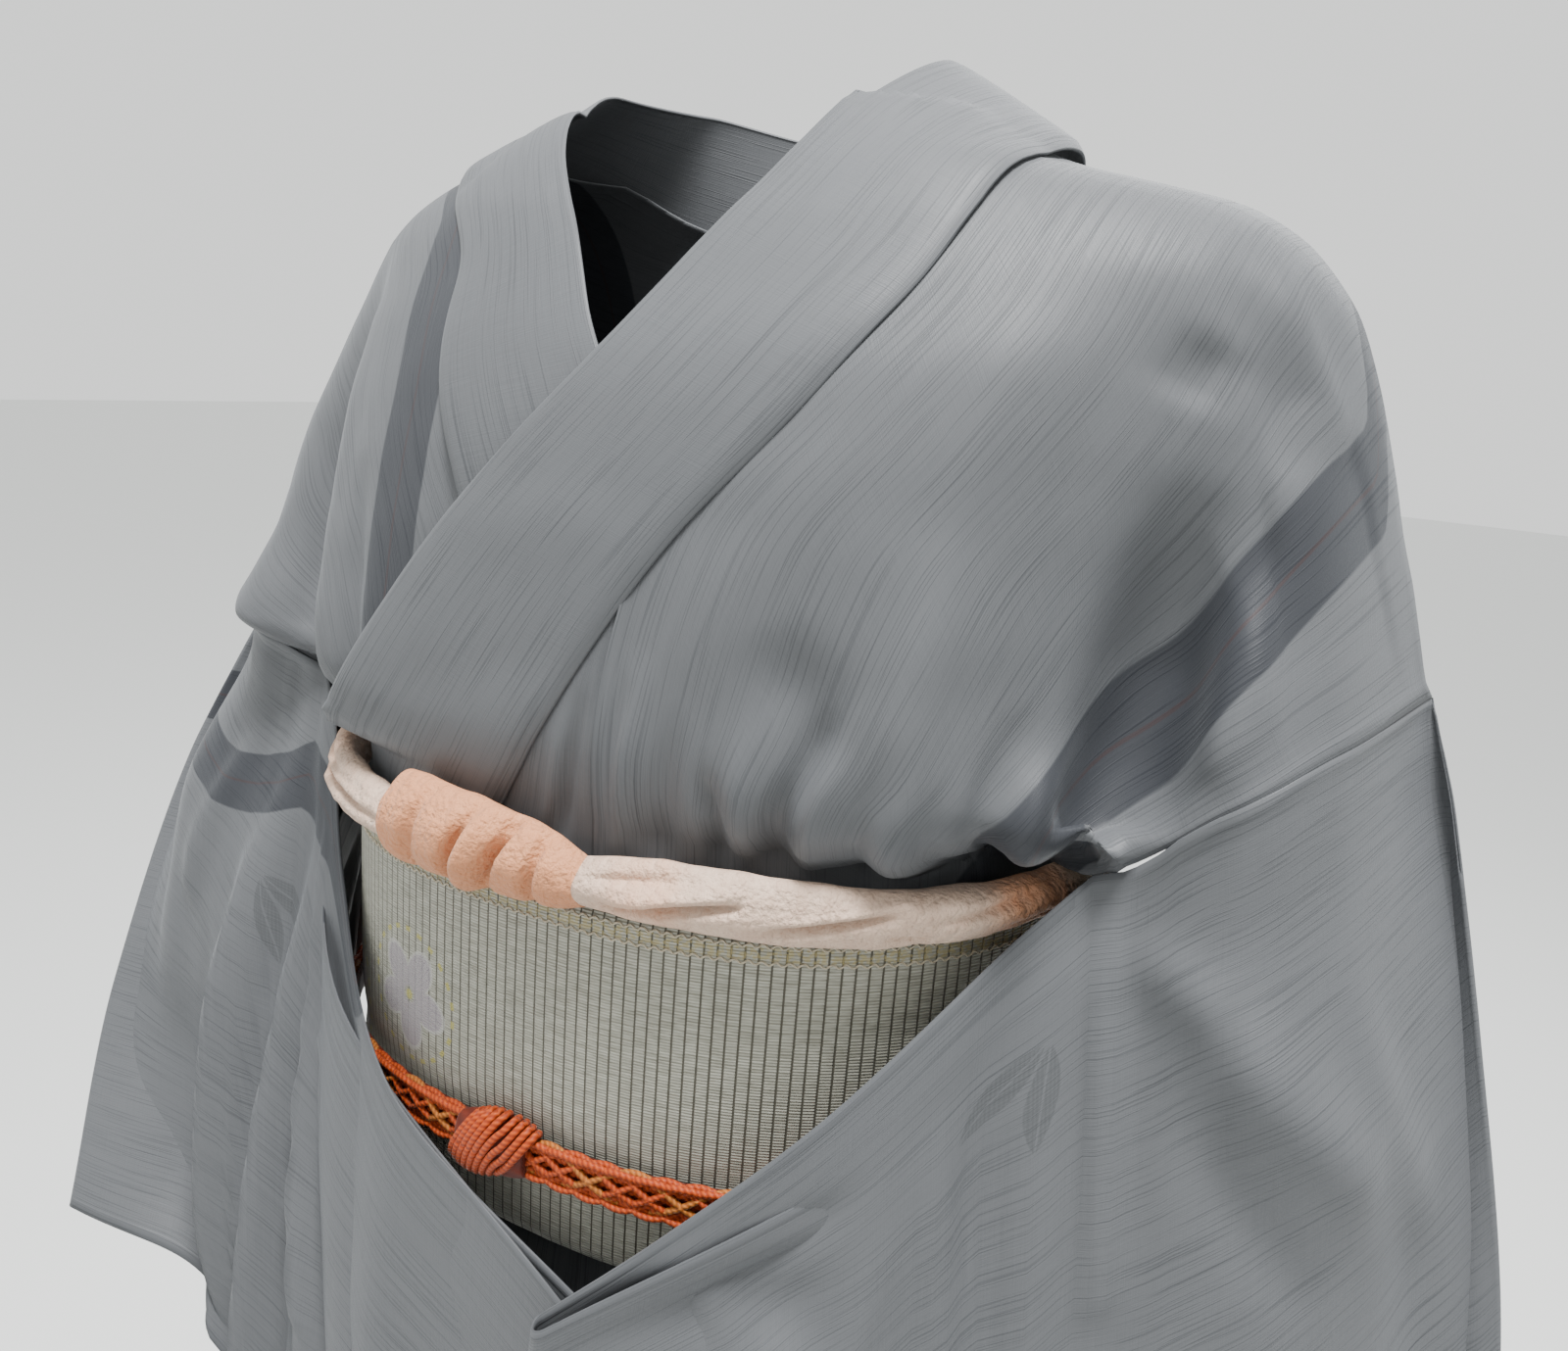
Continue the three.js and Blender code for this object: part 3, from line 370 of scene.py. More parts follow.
def finished(
    sheet: Sheet, wall: float, material: Material
) -> Piece:
    """Builds a sheet with its wall, dressed and in place of its own CAD node.

    Args:
        sheet: The finished sheet, named after its node with _cloth behind.
        wall: Its thickness in millimetres.
        material: Its material.

    Returns:
        The new object.
    """
    piece = walled(sheet.build(), wall)
    return dressed(piece, material, (sheet.name.replace("_cloth", ""),))


def tube(
    name: str, path: Array, radius: Any, sides: int = 6, flat: float = 1.0
) -> Piece:
    """A closed tube along a path.

    Args:
        name: The object's name.
        path: The points of its middle line, in millimetres.
        radius: Its radius, one number or one for each point.
        sides: The faces round it.
        flat: Its height as a share of its width.

    Returns:
        The new object.
    """
    ahead = unit(np.gradient(path, axis=0))
    outward = unit(path * (1, 1, 0) - (0, WornForm.ridge_y, 0))
    aside = unit(np.cross(ahead, outward))
    raised = np.cross(aside, ahead)
    turn = np.linspace(0, 2 * np.pi, sides + 1)
    wide = np.broadcast_to(radius, len(path))[:, None, None]
    spots = path[:, None] + wide * (
        np.cos(turn)[None, :, None] * aside[:, None]
        + flat * np.sin(turn)[None, :, None] * raised[:, None]
    )
    run = np.concatenate([[0], np.cumsum(np.linalg.norm(np.diff(path, axis=0), axis=1))])
    weave = np.stack(np.broadcast_arrays(turn[None] / np.pi, run[:, None]), axis=-1)
    return capped(Sheet(name, spots, weave, rolled=True).build())


# ---------------------------------------------------------------- shader maths


class Value:
    """One value in a shader. Its operators add Math nodes."""

    def __init__(self, shader: "Shader", socket: bpy.types.NodeSocket) -> None:
        """Keeps the socket and the shader it belongs to."""
        self.shader = shader
        self.socket = socket

    def _math(self, operation: str, first: Any, second: Any) -> "Value":
        """One Math node on two values.

        Args:
            operation: The node's operation.
            first: The first value.
            second: The second value.

        Returns:
            The node's result.
        """
        return self.shader.node(
            "ShaderNodeMath", {"operation": operation}, {0: first, 1: second}
        )

    def __add__(self, other: Any) -> "Value":
        """self + other."""
        return self._math("ADD", self, other)

    def __radd__(self, other: Any) -> "Value":
        """other + self."""
        return self._math("ADD", other, self)

    def __sub__(self, other: Any) -> "Value":
        """self - other."""
        return self._math("SUBTRACT", self, other)

    def __rsub__(self, other: Any) -> "Value":
        """other - self."""
        return self._math("SUBTRACT", other, self)

    def __mul__(self, other: Any) -> "Value":
        """self * other."""
        return self._math("MULTIPLY", self, other)

    def __rmul__(self, other: Any) -> "Value":
        """other * self."""
        return self._math("MULTIPLY", other, self)

    def __abs__(self) -> "Value":
        """The value without its sign."""
        return self._math("ABSOLUTE", self, 0)

    def sine(self) -> "Value":
        """The sine of the value."""
        return self._math("SINE", self, 0)

    def largest(self, other: Any) -> "Value":
        """The larger of the two values."""
        return self._math("MAXIMUM", self, other)

    def step(self, low: float, high: float) -> "Value":
        """0 below low and 1 above high, smooth between. High may lie below low.

        Args:
            low: Where the step starts.
            high: Where it ends.

        Returns:
            The stepped value.
        """
        return self.shader.node(
            "ShaderNodeMapRange",
            {"interpolation_type": "SMOOTHSTEP"},
            {"Value": self, "From Min": low, "From Max": high},
        )


class Shader:
    """Builds one material, node by node."""

    def __init__(self, name: str) -> None:
        """Starts a material with only its surface shader and output.

        Args:
            name: The material's name.
        """
        self.material = bpy.data.materials.new(name)
        self.material.use_nodes = True
        self.tree = self.material.node_tree
        self.tree.nodes.clear()
        output = self.tree.nodes.new("ShaderNodeOutputMaterial")
        self.surface = self.tree.nodes.new("ShaderNodeBsdfPrincipled")
        self.tree.links.new(self.surface.outputs[0], output.inputs["Surface"])

    def node(
        self,
        kind: str,
        settings: Optional[dict[str, Any]] = None,
        sockets: Optional[dict[Union[int, str], Any]] = None,
        out: Union[int, str] = 0,
    ) -> Value:
        """Adds one node.

        Args:
            kind: The node's type.
            settings: Its own settings, set first.
            sockets: The value or link of each of its sockets.
            out: The output that is returned.

        Returns:
            The value at that output.
        """
        node = self.tree.nodes.new(kind)
        for key, value in (settings or {}).items():
            setattr(node, key, value)
        for key, value in (sockets or {}).items():
            self.feed(node.inputs[key], value)
        return Value(self, node.outputs[out])

    def feed(self, socket: bpy.types.NodeSocket, value: Any) -> None:
        """Links a value to a socket, or sets a plain one on it.

        Args:
            socket: The input.
            value: The value or number.
        """
        if isinstance(value, Value):
            self.tree.links.new(value.socket, socket)
        elif socket.type == "RGBA" and len(value) == 3:
            socket.default_value = (*value, 1)
        else:
            socket.default_value = value

    def blend(self, share: Any, first: Any, second: Any) -> Value:
        """A colour between two colours.

        Args:
            share: The second colour's share.
            first: The first value.
            second: The second value.

        Returns:
            The blended colour.
        """
        return self.node(
            "ShaderNodeMix", {"data_type": "RGBA"}, {0: share, 6: first, 7: second}, 2
        )

    def mark(self, name: str) -> Value:
        """A number that the mesh holds."""
        return self.node("ShaderNodeAttribute", {"attribute_name": name}, out="Fac")

    def mark_parts(self, name: str) -> tuple[Value, Value, Value]:
        """The three parts of a vector that the mesh holds."""
        vector = self.node("ShaderNodeAttribute", {"attribute_name": name}, out="Vector")
        return self.parts(vector)

    def parts(self, vector: Value) -> tuple[Value, Value, Value]:
        """A vector's three parts.

        Args:
            vector: The vector.

        Returns:
            Its three values.
        """
        node = self.tree.nodes.new("ShaderNodeSeparateXYZ")
        self.feed(node.inputs[0], vector)
        return tuple(Value(self, node.outputs[axis]) for axis in range(3))

    def weave(self) -> Value:
        """Where a place lies on the flat cloth, in metres."""
        return self.node("ShaderNodeUVMap", {"uv_map": "Cloth"})

    def streaks(self, across: float, along: float, detail: float = 2.0) -> Value:
        """Noise on the flat cloth, with so many grains a metre each way.

        Args:
            across: Grains a metre across.
            along: Grains a metre along.
            detail: How fine its smallest grains are.

        Returns:
            The noise.
        """
        scaled = self.node(
            "ShaderNodeVectorMath",
            {"operation": "MULTIPLY"},
            {0: self.weave(), 1: (across, along, 1.0)},
        )
        return self.node(
            "ShaderNodeTexNoise",
            {"noise_dimensions": "2D"},
            {"Vector": scaled, "Scale": 1.0, "Detail": detail, "Roughness": 0.55},
        )

    def grain(self, size: float, detail: float = 3.0) -> Value:
        """Noise in the object's own space, with so many grains a metre.

        Args:
            size: Grains a metre.
            detail: How fine its smallest grains are.

        Returns:
            The noise.
        """
        where = self.node("ShaderNodeTexCoord", out="Object")
        return self.node(
            "ShaderNodeTexNoise", {}, {"Vector": where, "Scale": size, "Detail": detail}
        )

    def relief(self, height: Value, depth: float, strength: float = 1.0) -> None:
        """Bumps the surface by a height from 0 to 1, depth millimetres deep.

        Args:
            height: The height.
            depth: Its depth in millimetres.
            strength: The bump's strength.
        """
        bump = self.node(
            "ShaderNodeBump",
            {},
            {"Strength": strength, "Distance": depth * MM, "Height": height},
        )
        self.feed(self.surface.inputs["Normal"], bump)

    def finish(self, color: Value, roughness: Any, sheen: float, tint: Color) -> Material:
        """Sets the surface's colour and gloss.

        Args:
            color: The colour over the surface.
            roughness: The roughness, a number or a value.
            sheen: How much soft light the threads catch at the edges.
            tint: The colour of that light.

        Returns:
            The finished material.
        """
        self.feed(self.surface.inputs["Base Color"], color)
        self.feed(self.surface.inputs["Roughness"], roughness)
        self.feed(self.surface.inputs["Sheen Weight"], sheen)
        self.feed(self.surface.inputs["Sheen Roughness"], 0.45)
        self.feed(self.surface.inputs["Sheen Tint"], tint)
        self.feed(self.surface.inputs["Specular IOR Level"], 0.2)
        return self.material


# ---------------------------------------------------------------- finishes


@dataclass(frozen=True)
class SlubCloth:
    """The garment's thin blue-grey cloth: slub lines, dark bands and tonal leaves."""

    pale: Color = (0.094, 0.098, 0.104)
    deep: Color = (0.039, 0.042, 0.046)
    band: Color = (0.021, 0.023, 0.028)
    line: Color = (0.045, 0.021, 0.018)
    leaf: Color = (0.047, 0.050, 0.052)
    band_half: float = 14.0
    line_half: float = 0.35
    hem_width: float = 4.5
    leaf_turns: tuple[float, ...] = (-0.1, 0.9)
    leaf_slim: float = 0.19

    def leaves(self, shader: Shader) -> Value:
        """The mask of the leaf sprigs, from each place's spot in its own sprig.

        Args:
            shader: The material's shader.

        Returns:
            The mask.
        """
        x, y, near = shader.mark_parts("Sprig")
        mask: Optional[Value] = None
        for turn in self.leaf_turns:
            along = x * math.cos(turn) + y * math.sin(turn)
            aside = abs(y * math.cos(turn) - x * math.sin(turn))
            middle = abs(along - 0.55) * 2.0
            width = (1 - middle * middle) * self.leaf_slim
            blade = (width - aside).step(0.0, 0.02) * aside.step(0.006, 0.018)
            mask = blade if mask is None else mask.largest(blade)
        return mask * near.step(0.5, 0.6)

    def material(self) -> Material:
        """The cloth's material.

        Returns:
            The finished material.
        """
        shader = Shader("slub cloth")
        slubs = shader.streaks(1350, 13, 1.0).step(0.58, 0.70)
        bold = shader.streaks(640, 9, 1.0).step(0.66, 0.76)
        threads = shader.streaks(2600, 30, 1.0)
        weft = shader.streaks(40, 2300, 1.0)
        clouds = shader.streaks(15, 6, 1.0)
        shade = slubs * 0.38 + bold * 0.30 + threads * 0.36 + weft * 0.22 + clouds * 0.2 - 0.34
        color = shader.blend(shade, self.pale, self.deep)
        leaves = self.leaves(shader)
        u, v, _ = shader.parts(shader.weave())
        diamonds = ((u + v) * 2400.0).sine() * ((u - v) * 2400.0).sine()
        color = shader.blend(leaves * (diamonds * 0.2 + 0.42), color, self.leaf)
        away = abs(shader.mark("Band"))
        band = away.step(self.band_half + 0.6, self.band_half - 0.6)
        color = shader.blend(band * (slubs * 0.15 + 0.82), color, self.band)
        center = away.step(self.line_half + 0.35, self.line_half)
        color = shader.blend(center * 0.4, color, self.line)
        edge = shader.mark("Hem")
        doubled = edge.step(self.hem_width + 0.5, self.hem_width - 0.5)
        color = shader.blend(doubled * 0.22, color, self.deep)
        height = threads * 0.5 + weft * 0.4 + slubs * 0.4 + doubled * 1.2
        shader.relief(height, 0.22, 0.7)
        return shader.finish(color, 0.48 + slubs * 0.1, 0.08, (0.9, 0.95, 1.0))


@dataclass(frozen=True)
class RibbedSash:
    """The sash's pale open weave: ribs of short weft dashes with painted highlights, and a flower
    spray.
    """

    pale: Color = (0.178, 0.174, 0.136)
    deep: Color = (0.066, 0.060, 0.043)
    # painted highlight on the weft dashes
    bright: Color = (0.430, 0.428, 0.362)
    petal: Color = (0.245, 0.208, 0.250)
    rim: Color = (0.420, 0.410, 0.385)
    dot: Color = (0.360, 0.330, 0.100)
    lace: Color = (0.350, 0.290, 0.120)
    rib: float = 5.0
    dash: float = 1.25
    petals: int = 5

    def flower(self, shader: Shader, color: Value) -> Value:
        """Draws the flower over the weave's colour.

        Args:
            shader: The material's shader.
            color: The weave's colour.

        Returns:
            The colour with the flower on it.
        """
        x, y, near = shader.mark_parts("Flower")
        reach = shader.node("ShaderNodeMath", {"operation": "SQRT"}, {0: x * x + y * y})
        angle = shader.node("ShaderNodeMath", {"operation": "ARCTAN2"}, {0: y, 1: x})
        lobes = abs((angle * (self.petals / 2)).sine())
        edge = lobes * 0.42 + 0.50
        inside = near.step(0.5, 0.6)
        petal = (edge - reach).step(0.0, 0.03) * reach.step(0.12, 0.16)
        rim = abs(edge - reach).step(0.05, 0.025)
        vein = abs((angle * self.petals * 4.0).sine()).step(0.0, 0.5)
        satin = shader.blend(vein * 0.35, self.petal, self.rim)
        color = shader.blend(petal * inside * 0.85, color, satin)
        color = shader.blend(rim * inside * 0.7, color, self.rim)
        ring = abs(reach - 1.12).step(0.05, 0.03)
        beads = (angle * 22.0).sine().step(0.1, 0.5)
        color = shader.blend(ring * beads * inside, color, self.dot)
        heart = reach.step(0.10, 0.07)
        return shader.blend(heart * inside, color, self.dot)

    def material(self) -> Material:
        """The sash's material.

        Returns:
            The finished material.
        """
        shader = Shader("ribbed sash")
        u, v, _ = shader.parts(shader.weave())
        ribs = u * (math.pi / (self.rib * MM))
        column = abs(ribs.sine())
        parity = (ribs * 0.5).sine() * 8.0
        side = parity.step(-0.5, 0.5) * math.pi
        dashes = (v * (2 * math.pi / (self.dash * MM)) + side).sine() * 0.5 + 0.5
        # The gaps between the ribs take the deep colour: partly painted shade in the grooves,
        # partly the darker cloth seen through the open weave.
        body = column.step(0.10, 0.34)
        # Painted highlight: the weft dashes, and streaks along them, are lightened towards the
        # highlight colour.
        highlight_streaks = shader.streaks(90, 800, 2.0)
        highlight_share = dashes * 0.55 + highlight_streaks.step(0.3, 0.7) * 0.45
        color = shader.blend(body, self.deep, shader.blend(highlight_share, self.pale, self.bright))
        top = shader.mark("Hem")
        lace = top.step(11.0, 10.0) * top.step(4.6, 5.6) * shader.streaks(420, 520).step(0.45, 0.55)
        color = shader.blend(lace * 0.6, color, self.lace)
        color = self.flower(shader, color)
        shader.relief(body * 0.8 + dashes * body * 0.6, 0.6, 0.9)
        return shader.finish(color, 0.55, 0.2, (1.0, 1.0, 0.92))


@dataclass(frozen=True)
class CrinkledSilk:
    """The scarf's crinkled silk, with washes of colour along it and painted shade in its crinkles.
    """

    name: str
    pale: Color
    # painted shade in the crinkles
    deep: Color
    blush: Color = (0.780, 0.330, 0.150)
    yellow: Color = (0.700, 0.600, 0.290)

    def material(self) -> Material:
        """The silk's material.

        Returns:
            The finished material.
        """
        shader = Shader(self.name)
        crinkle = shader.grain(460.0, 3.0)
        ripple = shader.streaks(240, 110, 3.0)
        # Painted shade: the colour goes from pale to deep with the same crinkle and ripple that
        # bump the surface.
        shade = crinkle * 0.55 + ripple * 0.65 - 0.25
        color = shader.blend(shade, self.pale, self.deep)
        color = shader.blend(shader.mark("Blush") * (ripple * 0.5 + 0.45), color, self.blush)
        color = shader.blend(shader.mark("Yellow") * 0.55, color, self.yellow)
        shader.relief(crinkle * 0.9 + ripple * 0.8, 1.9, 1.0)
        return shader.finish(color, 0.55, 0.12, (1.0, 0.93, 0.86))


@dataclass(frozen=True)
class TwistedThread:
    """A fine twisted thread, with its plies as slanting lines."""

    name: str
    color: Color
    shade: Color
    pitch: float = 2.4
    plies: float = 2.0

    def material(self) -> Material:
        """The thread's material.

        Returns:
            The finished material.
        """
        shader = Shader(self.name)
        around, along, _ = shader.parts(shader.weave())
        turns = around * (self.plies * math.pi / MM) + along * (2 * math.pi / (self.pitch * MM))
        ply = turns.sine() * 0.5 + 0.5
        fuzz = shader.grain(2600.0)
        color = shader.blend(ply * 0.7 + fuzz * 0.3, self.shade, self.color)
        shader.relief(ply * 0.8 + fuzz * 0.3, 0.3, 0.9)
        return shader.finish(color, 0.5, 0.06, (1.0, 0.95, 0.9))


@dataclass(frozen=True)
class PlainPaper:
    """The pale floor's matt finish."""

    color: Color = (0.80, 0.81, 0.80)

    def material(self) -> Material:
        """The floor's material.

        Returns:
            The finished material.
        """
        shader = Shader("pale floor")
        mottle = shader.grain(3.0)
        faint = shader.blend(mottle * 0.05, self.color, (0.7, 0.7, 0.7))
        return shader.finish(faint, 0.9, 0.0, (1.0, 1.0, 1.0))


@dataclass(frozen=True)
class Finishes:
    """Every material of the garment, made once."""

    cloth: Material
    sash: Material
    scarf: Material
    knot: Material
    red: Material
    gold: Material
    # painted shade of the cord, behind the net and inside the knot
    core: Material
    stitch: Material

    @classmethod
    def make(cls) -> "Finishes":
        """Makes all of them.

        Returns:
            The finishes.
        """

        def thread(name: str, color: Color, shade: Color) -> Material:
            """One thread's material."""
            return TwistedThread(name, color, shade).material()

        # Each silk's second colour is its painted shade in the crinkles.
        cream = CrinkledSilk("cream silk", (0.600, 0.450, 0.350), (0.380, 0.245, 0.180))
        salmon = CrinkledSilk("salmon silk", (0.520, 0.240, 0.125), (0.300, 0.112, 0.054))
        return cls(
            cloth=SlubCloth().material(),
            sash=RibbedSash().material(),
            scarf=cream.material(),
            knot=salmon.material(),
            red=thread("orange cord", (0.450, 0.070, 0.010), (0.200, 0.020, 0.004)),
            gold=thread("gold cord", (0.440, 0.150, 0.026), (0.220, 0.056, 0.008)),
            # Painted shade: a dark copy of the cord's colour, for the sheet behind the net and the
            # roll in the knot.
            core=thread("cord shade", (0.130, 0.016, 0.005), (0.070, 0.008, 0.003)),
            stitch=thread("cream stitch", (0.560, 0.510, 0.390), (0.360, 0.310, 0.220)),
        )


# ---------------------------------------------------------------- the worn form


@dataclass(frozen=True)
class WornForm:
    """The hollow form that the garment keeps, section by section."""

    ridge_y: float = 15.0
    roundness: float = 2.4
    obi_top: float = -292.0
    tuck_bottom: float = -506.0
    hem: float = -1310.0
    hollow_width: float = 33.0
    hollow_left: float = 202.0
    hollow_right: float = -180.0
    sections: Table = Table(
        "z left right front back",
        (4, 88, 88, 30, 70),
        (-12, 122, 124, 45, 82),
        (-32, 198, 168, 62, 88),
        (-45, 219, 187, 72, 92),
        (-65, 236, 202, 84, 97),
        (-97, 249, 220, 100, 101),
        (-137, 262, 240, 112, 103),
        (-190, 283, 269, 121, 103),
        (-232, 296, 297, 125, 102),
        (-243, 268, 268, 124, 101),
        (-252, 200, 200, 123, 100),
        (-259, 163, 163, 122, 99),
        (-292, 160, 160, 120, 97),
        (-445, 160, 160, 119, 99),
        (-520, 174, 174, 126, 112),
        (-700, 188, 188, 134, 124),
        (-900, 180, 180, 130, 122),
        (-1310, 156, 156, 118, 112),
    )
    hollow: Table = Table("z depth", (-55, 0), (-110, 22), (-170, 36), (-250, 34), (-268, 0))

    def half(self, x: Array, z: Array) -> Array:
        """The form's half width on the side where x lies."""
        left = self.sections.read("left", z)
        return np.where(np.asarray(x) > 0, left, self.sections.read("right", z))

    def ahead(self, z: Array) -> Array:
        """How far the form reaches in front of the shoulder line."""
        return self.sections.read("front", z) + self.ridge_y

    def behind(self, z: Array) -> Array:
        """How far the form reaches behind the shoulder line."""
        return self.sections.read("back", z) - self.ridge_y

    def depth(self, x: Array, z: Array, front: bool, limit: Any = 1.0) -> Array:
        """How deep the form's surface lies at a place seen from the front or the back.

        Args:
            x: Where, across.
            z: Where, upwards.
            front: Whether the front surface is meant.
            limit: The largest share of the half width that is followed.

        Returns:
            The y of the surface.
        """
        part = np.minimum(limit, np.abs(x) / self.half(x, z))
        share = (1 - part**self.roundness) ** (1 / self.roundness)
        if not front:
            return self.ridge_y + self.behind(z) * share
        center = np.where(np.asarray(x) > 0, self.hollow_left, self.hollow_right)
        dip = self.hollow.read("depth", z) * bell(x - center, self.hollow_width)
        return self.ridge_y - self.ahead(z) * share + dip * share

    def ring(self, degrees: Array, z: Array, layer: Array) -> Array:
        """Points on a level section. Angle 0 is the front, 90 the wearer's left.

        Args:
            degrees: The angles.
            z: The levels.
            layer: How far outside the form.

        Returns:
            The points.
        """
        angle = np.radians(degrees)
        side, toward = np.sin(angle), np.cos(angle)
        half = self.half(side, z) + layer
        depth = np.where(toward > 0, self.ahead(z), self.behind(z)) + layer
        power = 2 / self.roundness
        return places(
            half * np.sign(side) * np.abs(side) ** power,
            self.ridge_y - depth * np.sign(toward) * np.abs(toward) ** power,
            z,
        )

    def shoulder_level(self, x: Array) -> Array:
        """The height at which the shoulder line passes each half width.

        Args:
            x: The half widths.

        Returns:
            The heights.
        """
        high = np.full(np.shape(x), 4.0)
        low = np.full(np.shape(x), -232.0)
        for _ in range(40):
            middle = (high + low) / 2
            narrow = self.half(x, middle) < np.abs(x)
            high, low = np.where(narrow, middle, high), np.where(narrow, low, middle)
        return (high + low) / 2

    def outside(self, spots: Array) -> Array:
        """How far points lie outside the form, as a share of its size there.

        Args:
            spots: The points.

        Returns:
            The shares.
        """
        x, y, z = spots[..., 0], spots[..., 1], spots[..., 2]
        reach = np.where(y < self.ridge_y, self.ahead(z), self.behind(z))
        wide = (np.abs(x) / self.half(x, z)) ** self.roundness
        deep = (np.abs(y - self.ridge_y) / reach) ** self.roundness
        return (wide + deep) ** (1 / self.roundness) - 1


FORM = WornForm()


def coons(
    top: Array, bottom: Array, near: Array, far: Array, corners: Array, u: Array, v: Array
) -> Array:
    """Points of a four-sided patch, from the points on its edges.

    Args:
        top: The top edge at each u.
        bottom: The bottom edge at each u.
        near: The near edge at each v.
        far: The far edge at each v.
        corners: Top near, top far, bottom near and bottom far.
        u: The share across.
        v: The share down.

    Returns:
        The points.
    """
    u, v = u[..., None], v[..., None]
    edges = top * (1 - v) + bottom * v + near * (1 - u) + far * u
    inner = corners[0] * (1 - u) * (1 - v) + corners[1] * u * (1 - v)
    return edges - inner - corners[2] * (1 - u) * v - corners[3] * u * v


# ---------------------------------------------------------------- body, overlaps and collar


@dataclass(frozen=True)
class BodySide:
    """One side of the garment's body: a length of cloth over the shoulder."""

    sign: float
    neck: float
    shoulder_end: float
    waist_inner: float
    front_inner: Table
    front_outer: Table
    back_outer: Table
    side_seam: float = 82.0
    back_middle: float = 179.7
    tuck_length: float = 1.6
    armhole_end: float = 0.8
    under: float = 1.6
    over: float = 8.6
    back_inner: Table = Table(
        "at side z", (0, 1, 0), (0.1, 0.66, -30), (0.22, 0.003, -52), (1, 0.003, -292)
    )

    def lift(self, spots: Array, front: Any) -> Array:
        """How far the panel's outer face lies outside the form.

        Args:
            spots: The points.
            front: Whether the front is meant.

        Returns:
            The distances.
        """
        if self.sign < 0:
            return np.full(spots.shape[:-1], self.under)
        down = smooth(-25, -110, spots[..., 2])
        raised = mix(self.under, self.over, down * (1 - smooth(140, 176, spots[..., 0])))
        return np.where(front, raised, self.under)

    def _half_panel(self, across: Array, down: Array, front: bool) -> Array:
        """The panel on the form above the waist, in front or behind.

        Args:
            across: The share across.
            down: The share down.
            front: Whether the front is meant.

        Returns:
            The points.
        """
        outer_edge = self.front_outer if front else self.back_outer
        neck_x = self.neck * self.sign

        def level(x: Array, z: Array) -> Array:
            """A point in the upright plane that the panel is drawn on."""
            return places(x, 0.0, z)

        def inner(v: Array) -> Array:
            """The edge beside the collar or the middle of the back.

            Args:
                v: The share down.

            Returns:
                The edge's points.
            """
            if front:
                return level(self.front_inner.read("x", v), self.front_inner.read("z", v))
            x = self.back_inner.read("side", v) * neck_x
            top = FORM.shoulder_level(np.array(neck_x))
            return level(x, np.minimum(top, self.back_inner.read("z", v)))

        def outer(v: Array) -> Array:
            """The edge where the sleeve is sewn on."""
            return level(outer_edge.read("x", v), outer_edge.read("z", v))

        def ridge(u: Array) -> Array:
            """The shoulder line."""
            x = mix(self.neck, self.shoulder_end, u) * self.sign
            return level(x, FORM.shoulder_level(x))

        start, end = self.waist_angles(front)

        def waist(u: Array) -> Array:
            """The edge at the top of the sash."""
            point = FORM.ring(mix(start, end, u), FORM.obi_top, 0.0)
            return point * (1, 0, 1)

        zero, one = np.array(0.0), np.array(1.0)
        corners = np.array([ridge(zero), ridge(one), waist(zero), waist(one)])
        flat = coons(ridge(across), waist(across), inner(down), outer(down), corners, across, down)
        edge = outer(down)
        limit = mix(1, 0.86, smooth(0, 0.3, down))
        edge_y = outer_edge.read("y", down) - FORM.depth(edge[..., 0], edge[..., 2], front, limit)
        depth = FORM.depth(flat[..., 0], flat[..., 2], front, limit)
        flat[..., 1] = depth + edge_y * smooth(0.6, 1, across)
        return flat

    def waist_angles(self, front: bool) -> tuple[float, float]:
        """The angles of the panel's inner and outer edges at the waist.

        Args:
            front: Whether the front is meant.

        Returns:
            The two angles in degrees.
        """
        if front:
            return self.waist_inner, self.side_seam * self.sign
        return self.back_middle * self.sign, (self.side_seam + 1) * self.sign

    def on_form(self, across: Array, length: Array) -> Array:
        """Points of the panel on the form itself. length is minus behind.

        Args:
            across: The share across.
            length: How far along: 1 at the waist, minus behind.

        Returns:
            The points.
        """
        down = np.minimum(1, np.abs(length))
        front, back = length >= 0, length < 0
        spots = choose(
            front, self._half_panel(across, down, True), self._half_panel(across, down, False)
        )
        share = np.maximum(0, np.abs(length) - 1) / (self.tuck_length - 1)
        level = mix(FORM.obi_top, FORM.tuck_bottom, share)
        start, end = self.waist_angles(True)
        start_back, end_back = self.waist_angles(False)
        angle = np.where(back, mix(start_back, end_back, across), mix(start, end, across))
        return choose(np.abs(length) > 1, FORM.ring(angle, level, 0.0), spots)

    def face(self, across: Array, length: Array) -> Array:
        """Points of the panel's outer face.

        Args:
            across: The share across.
            length: How far along: 1 at the waist, minus behind.

        Returns:
            The points.
        """
        across, length = np.broadcast_arrays(np.asarray(across, float), np.asarray(length, float))
        step, limit = 0.004, self.tuck_length
        wide = self.on_form(np.clip(across + step, 0, 1), length)
        wide = wide - self.on_form(np.clip(across - step, 0, 1), length)
        long = self.on_form(across, np.clip(length + step, -limit, limit))
        long = long - self.on_form(across, np.clip(length - step, -limit, limit))
        normal = unit(np.cross(long, wide)) * self.sign
        spots = self.on_form(across, length)
        return spots + normal * self.lift(spots, length >= 0)[..., None]


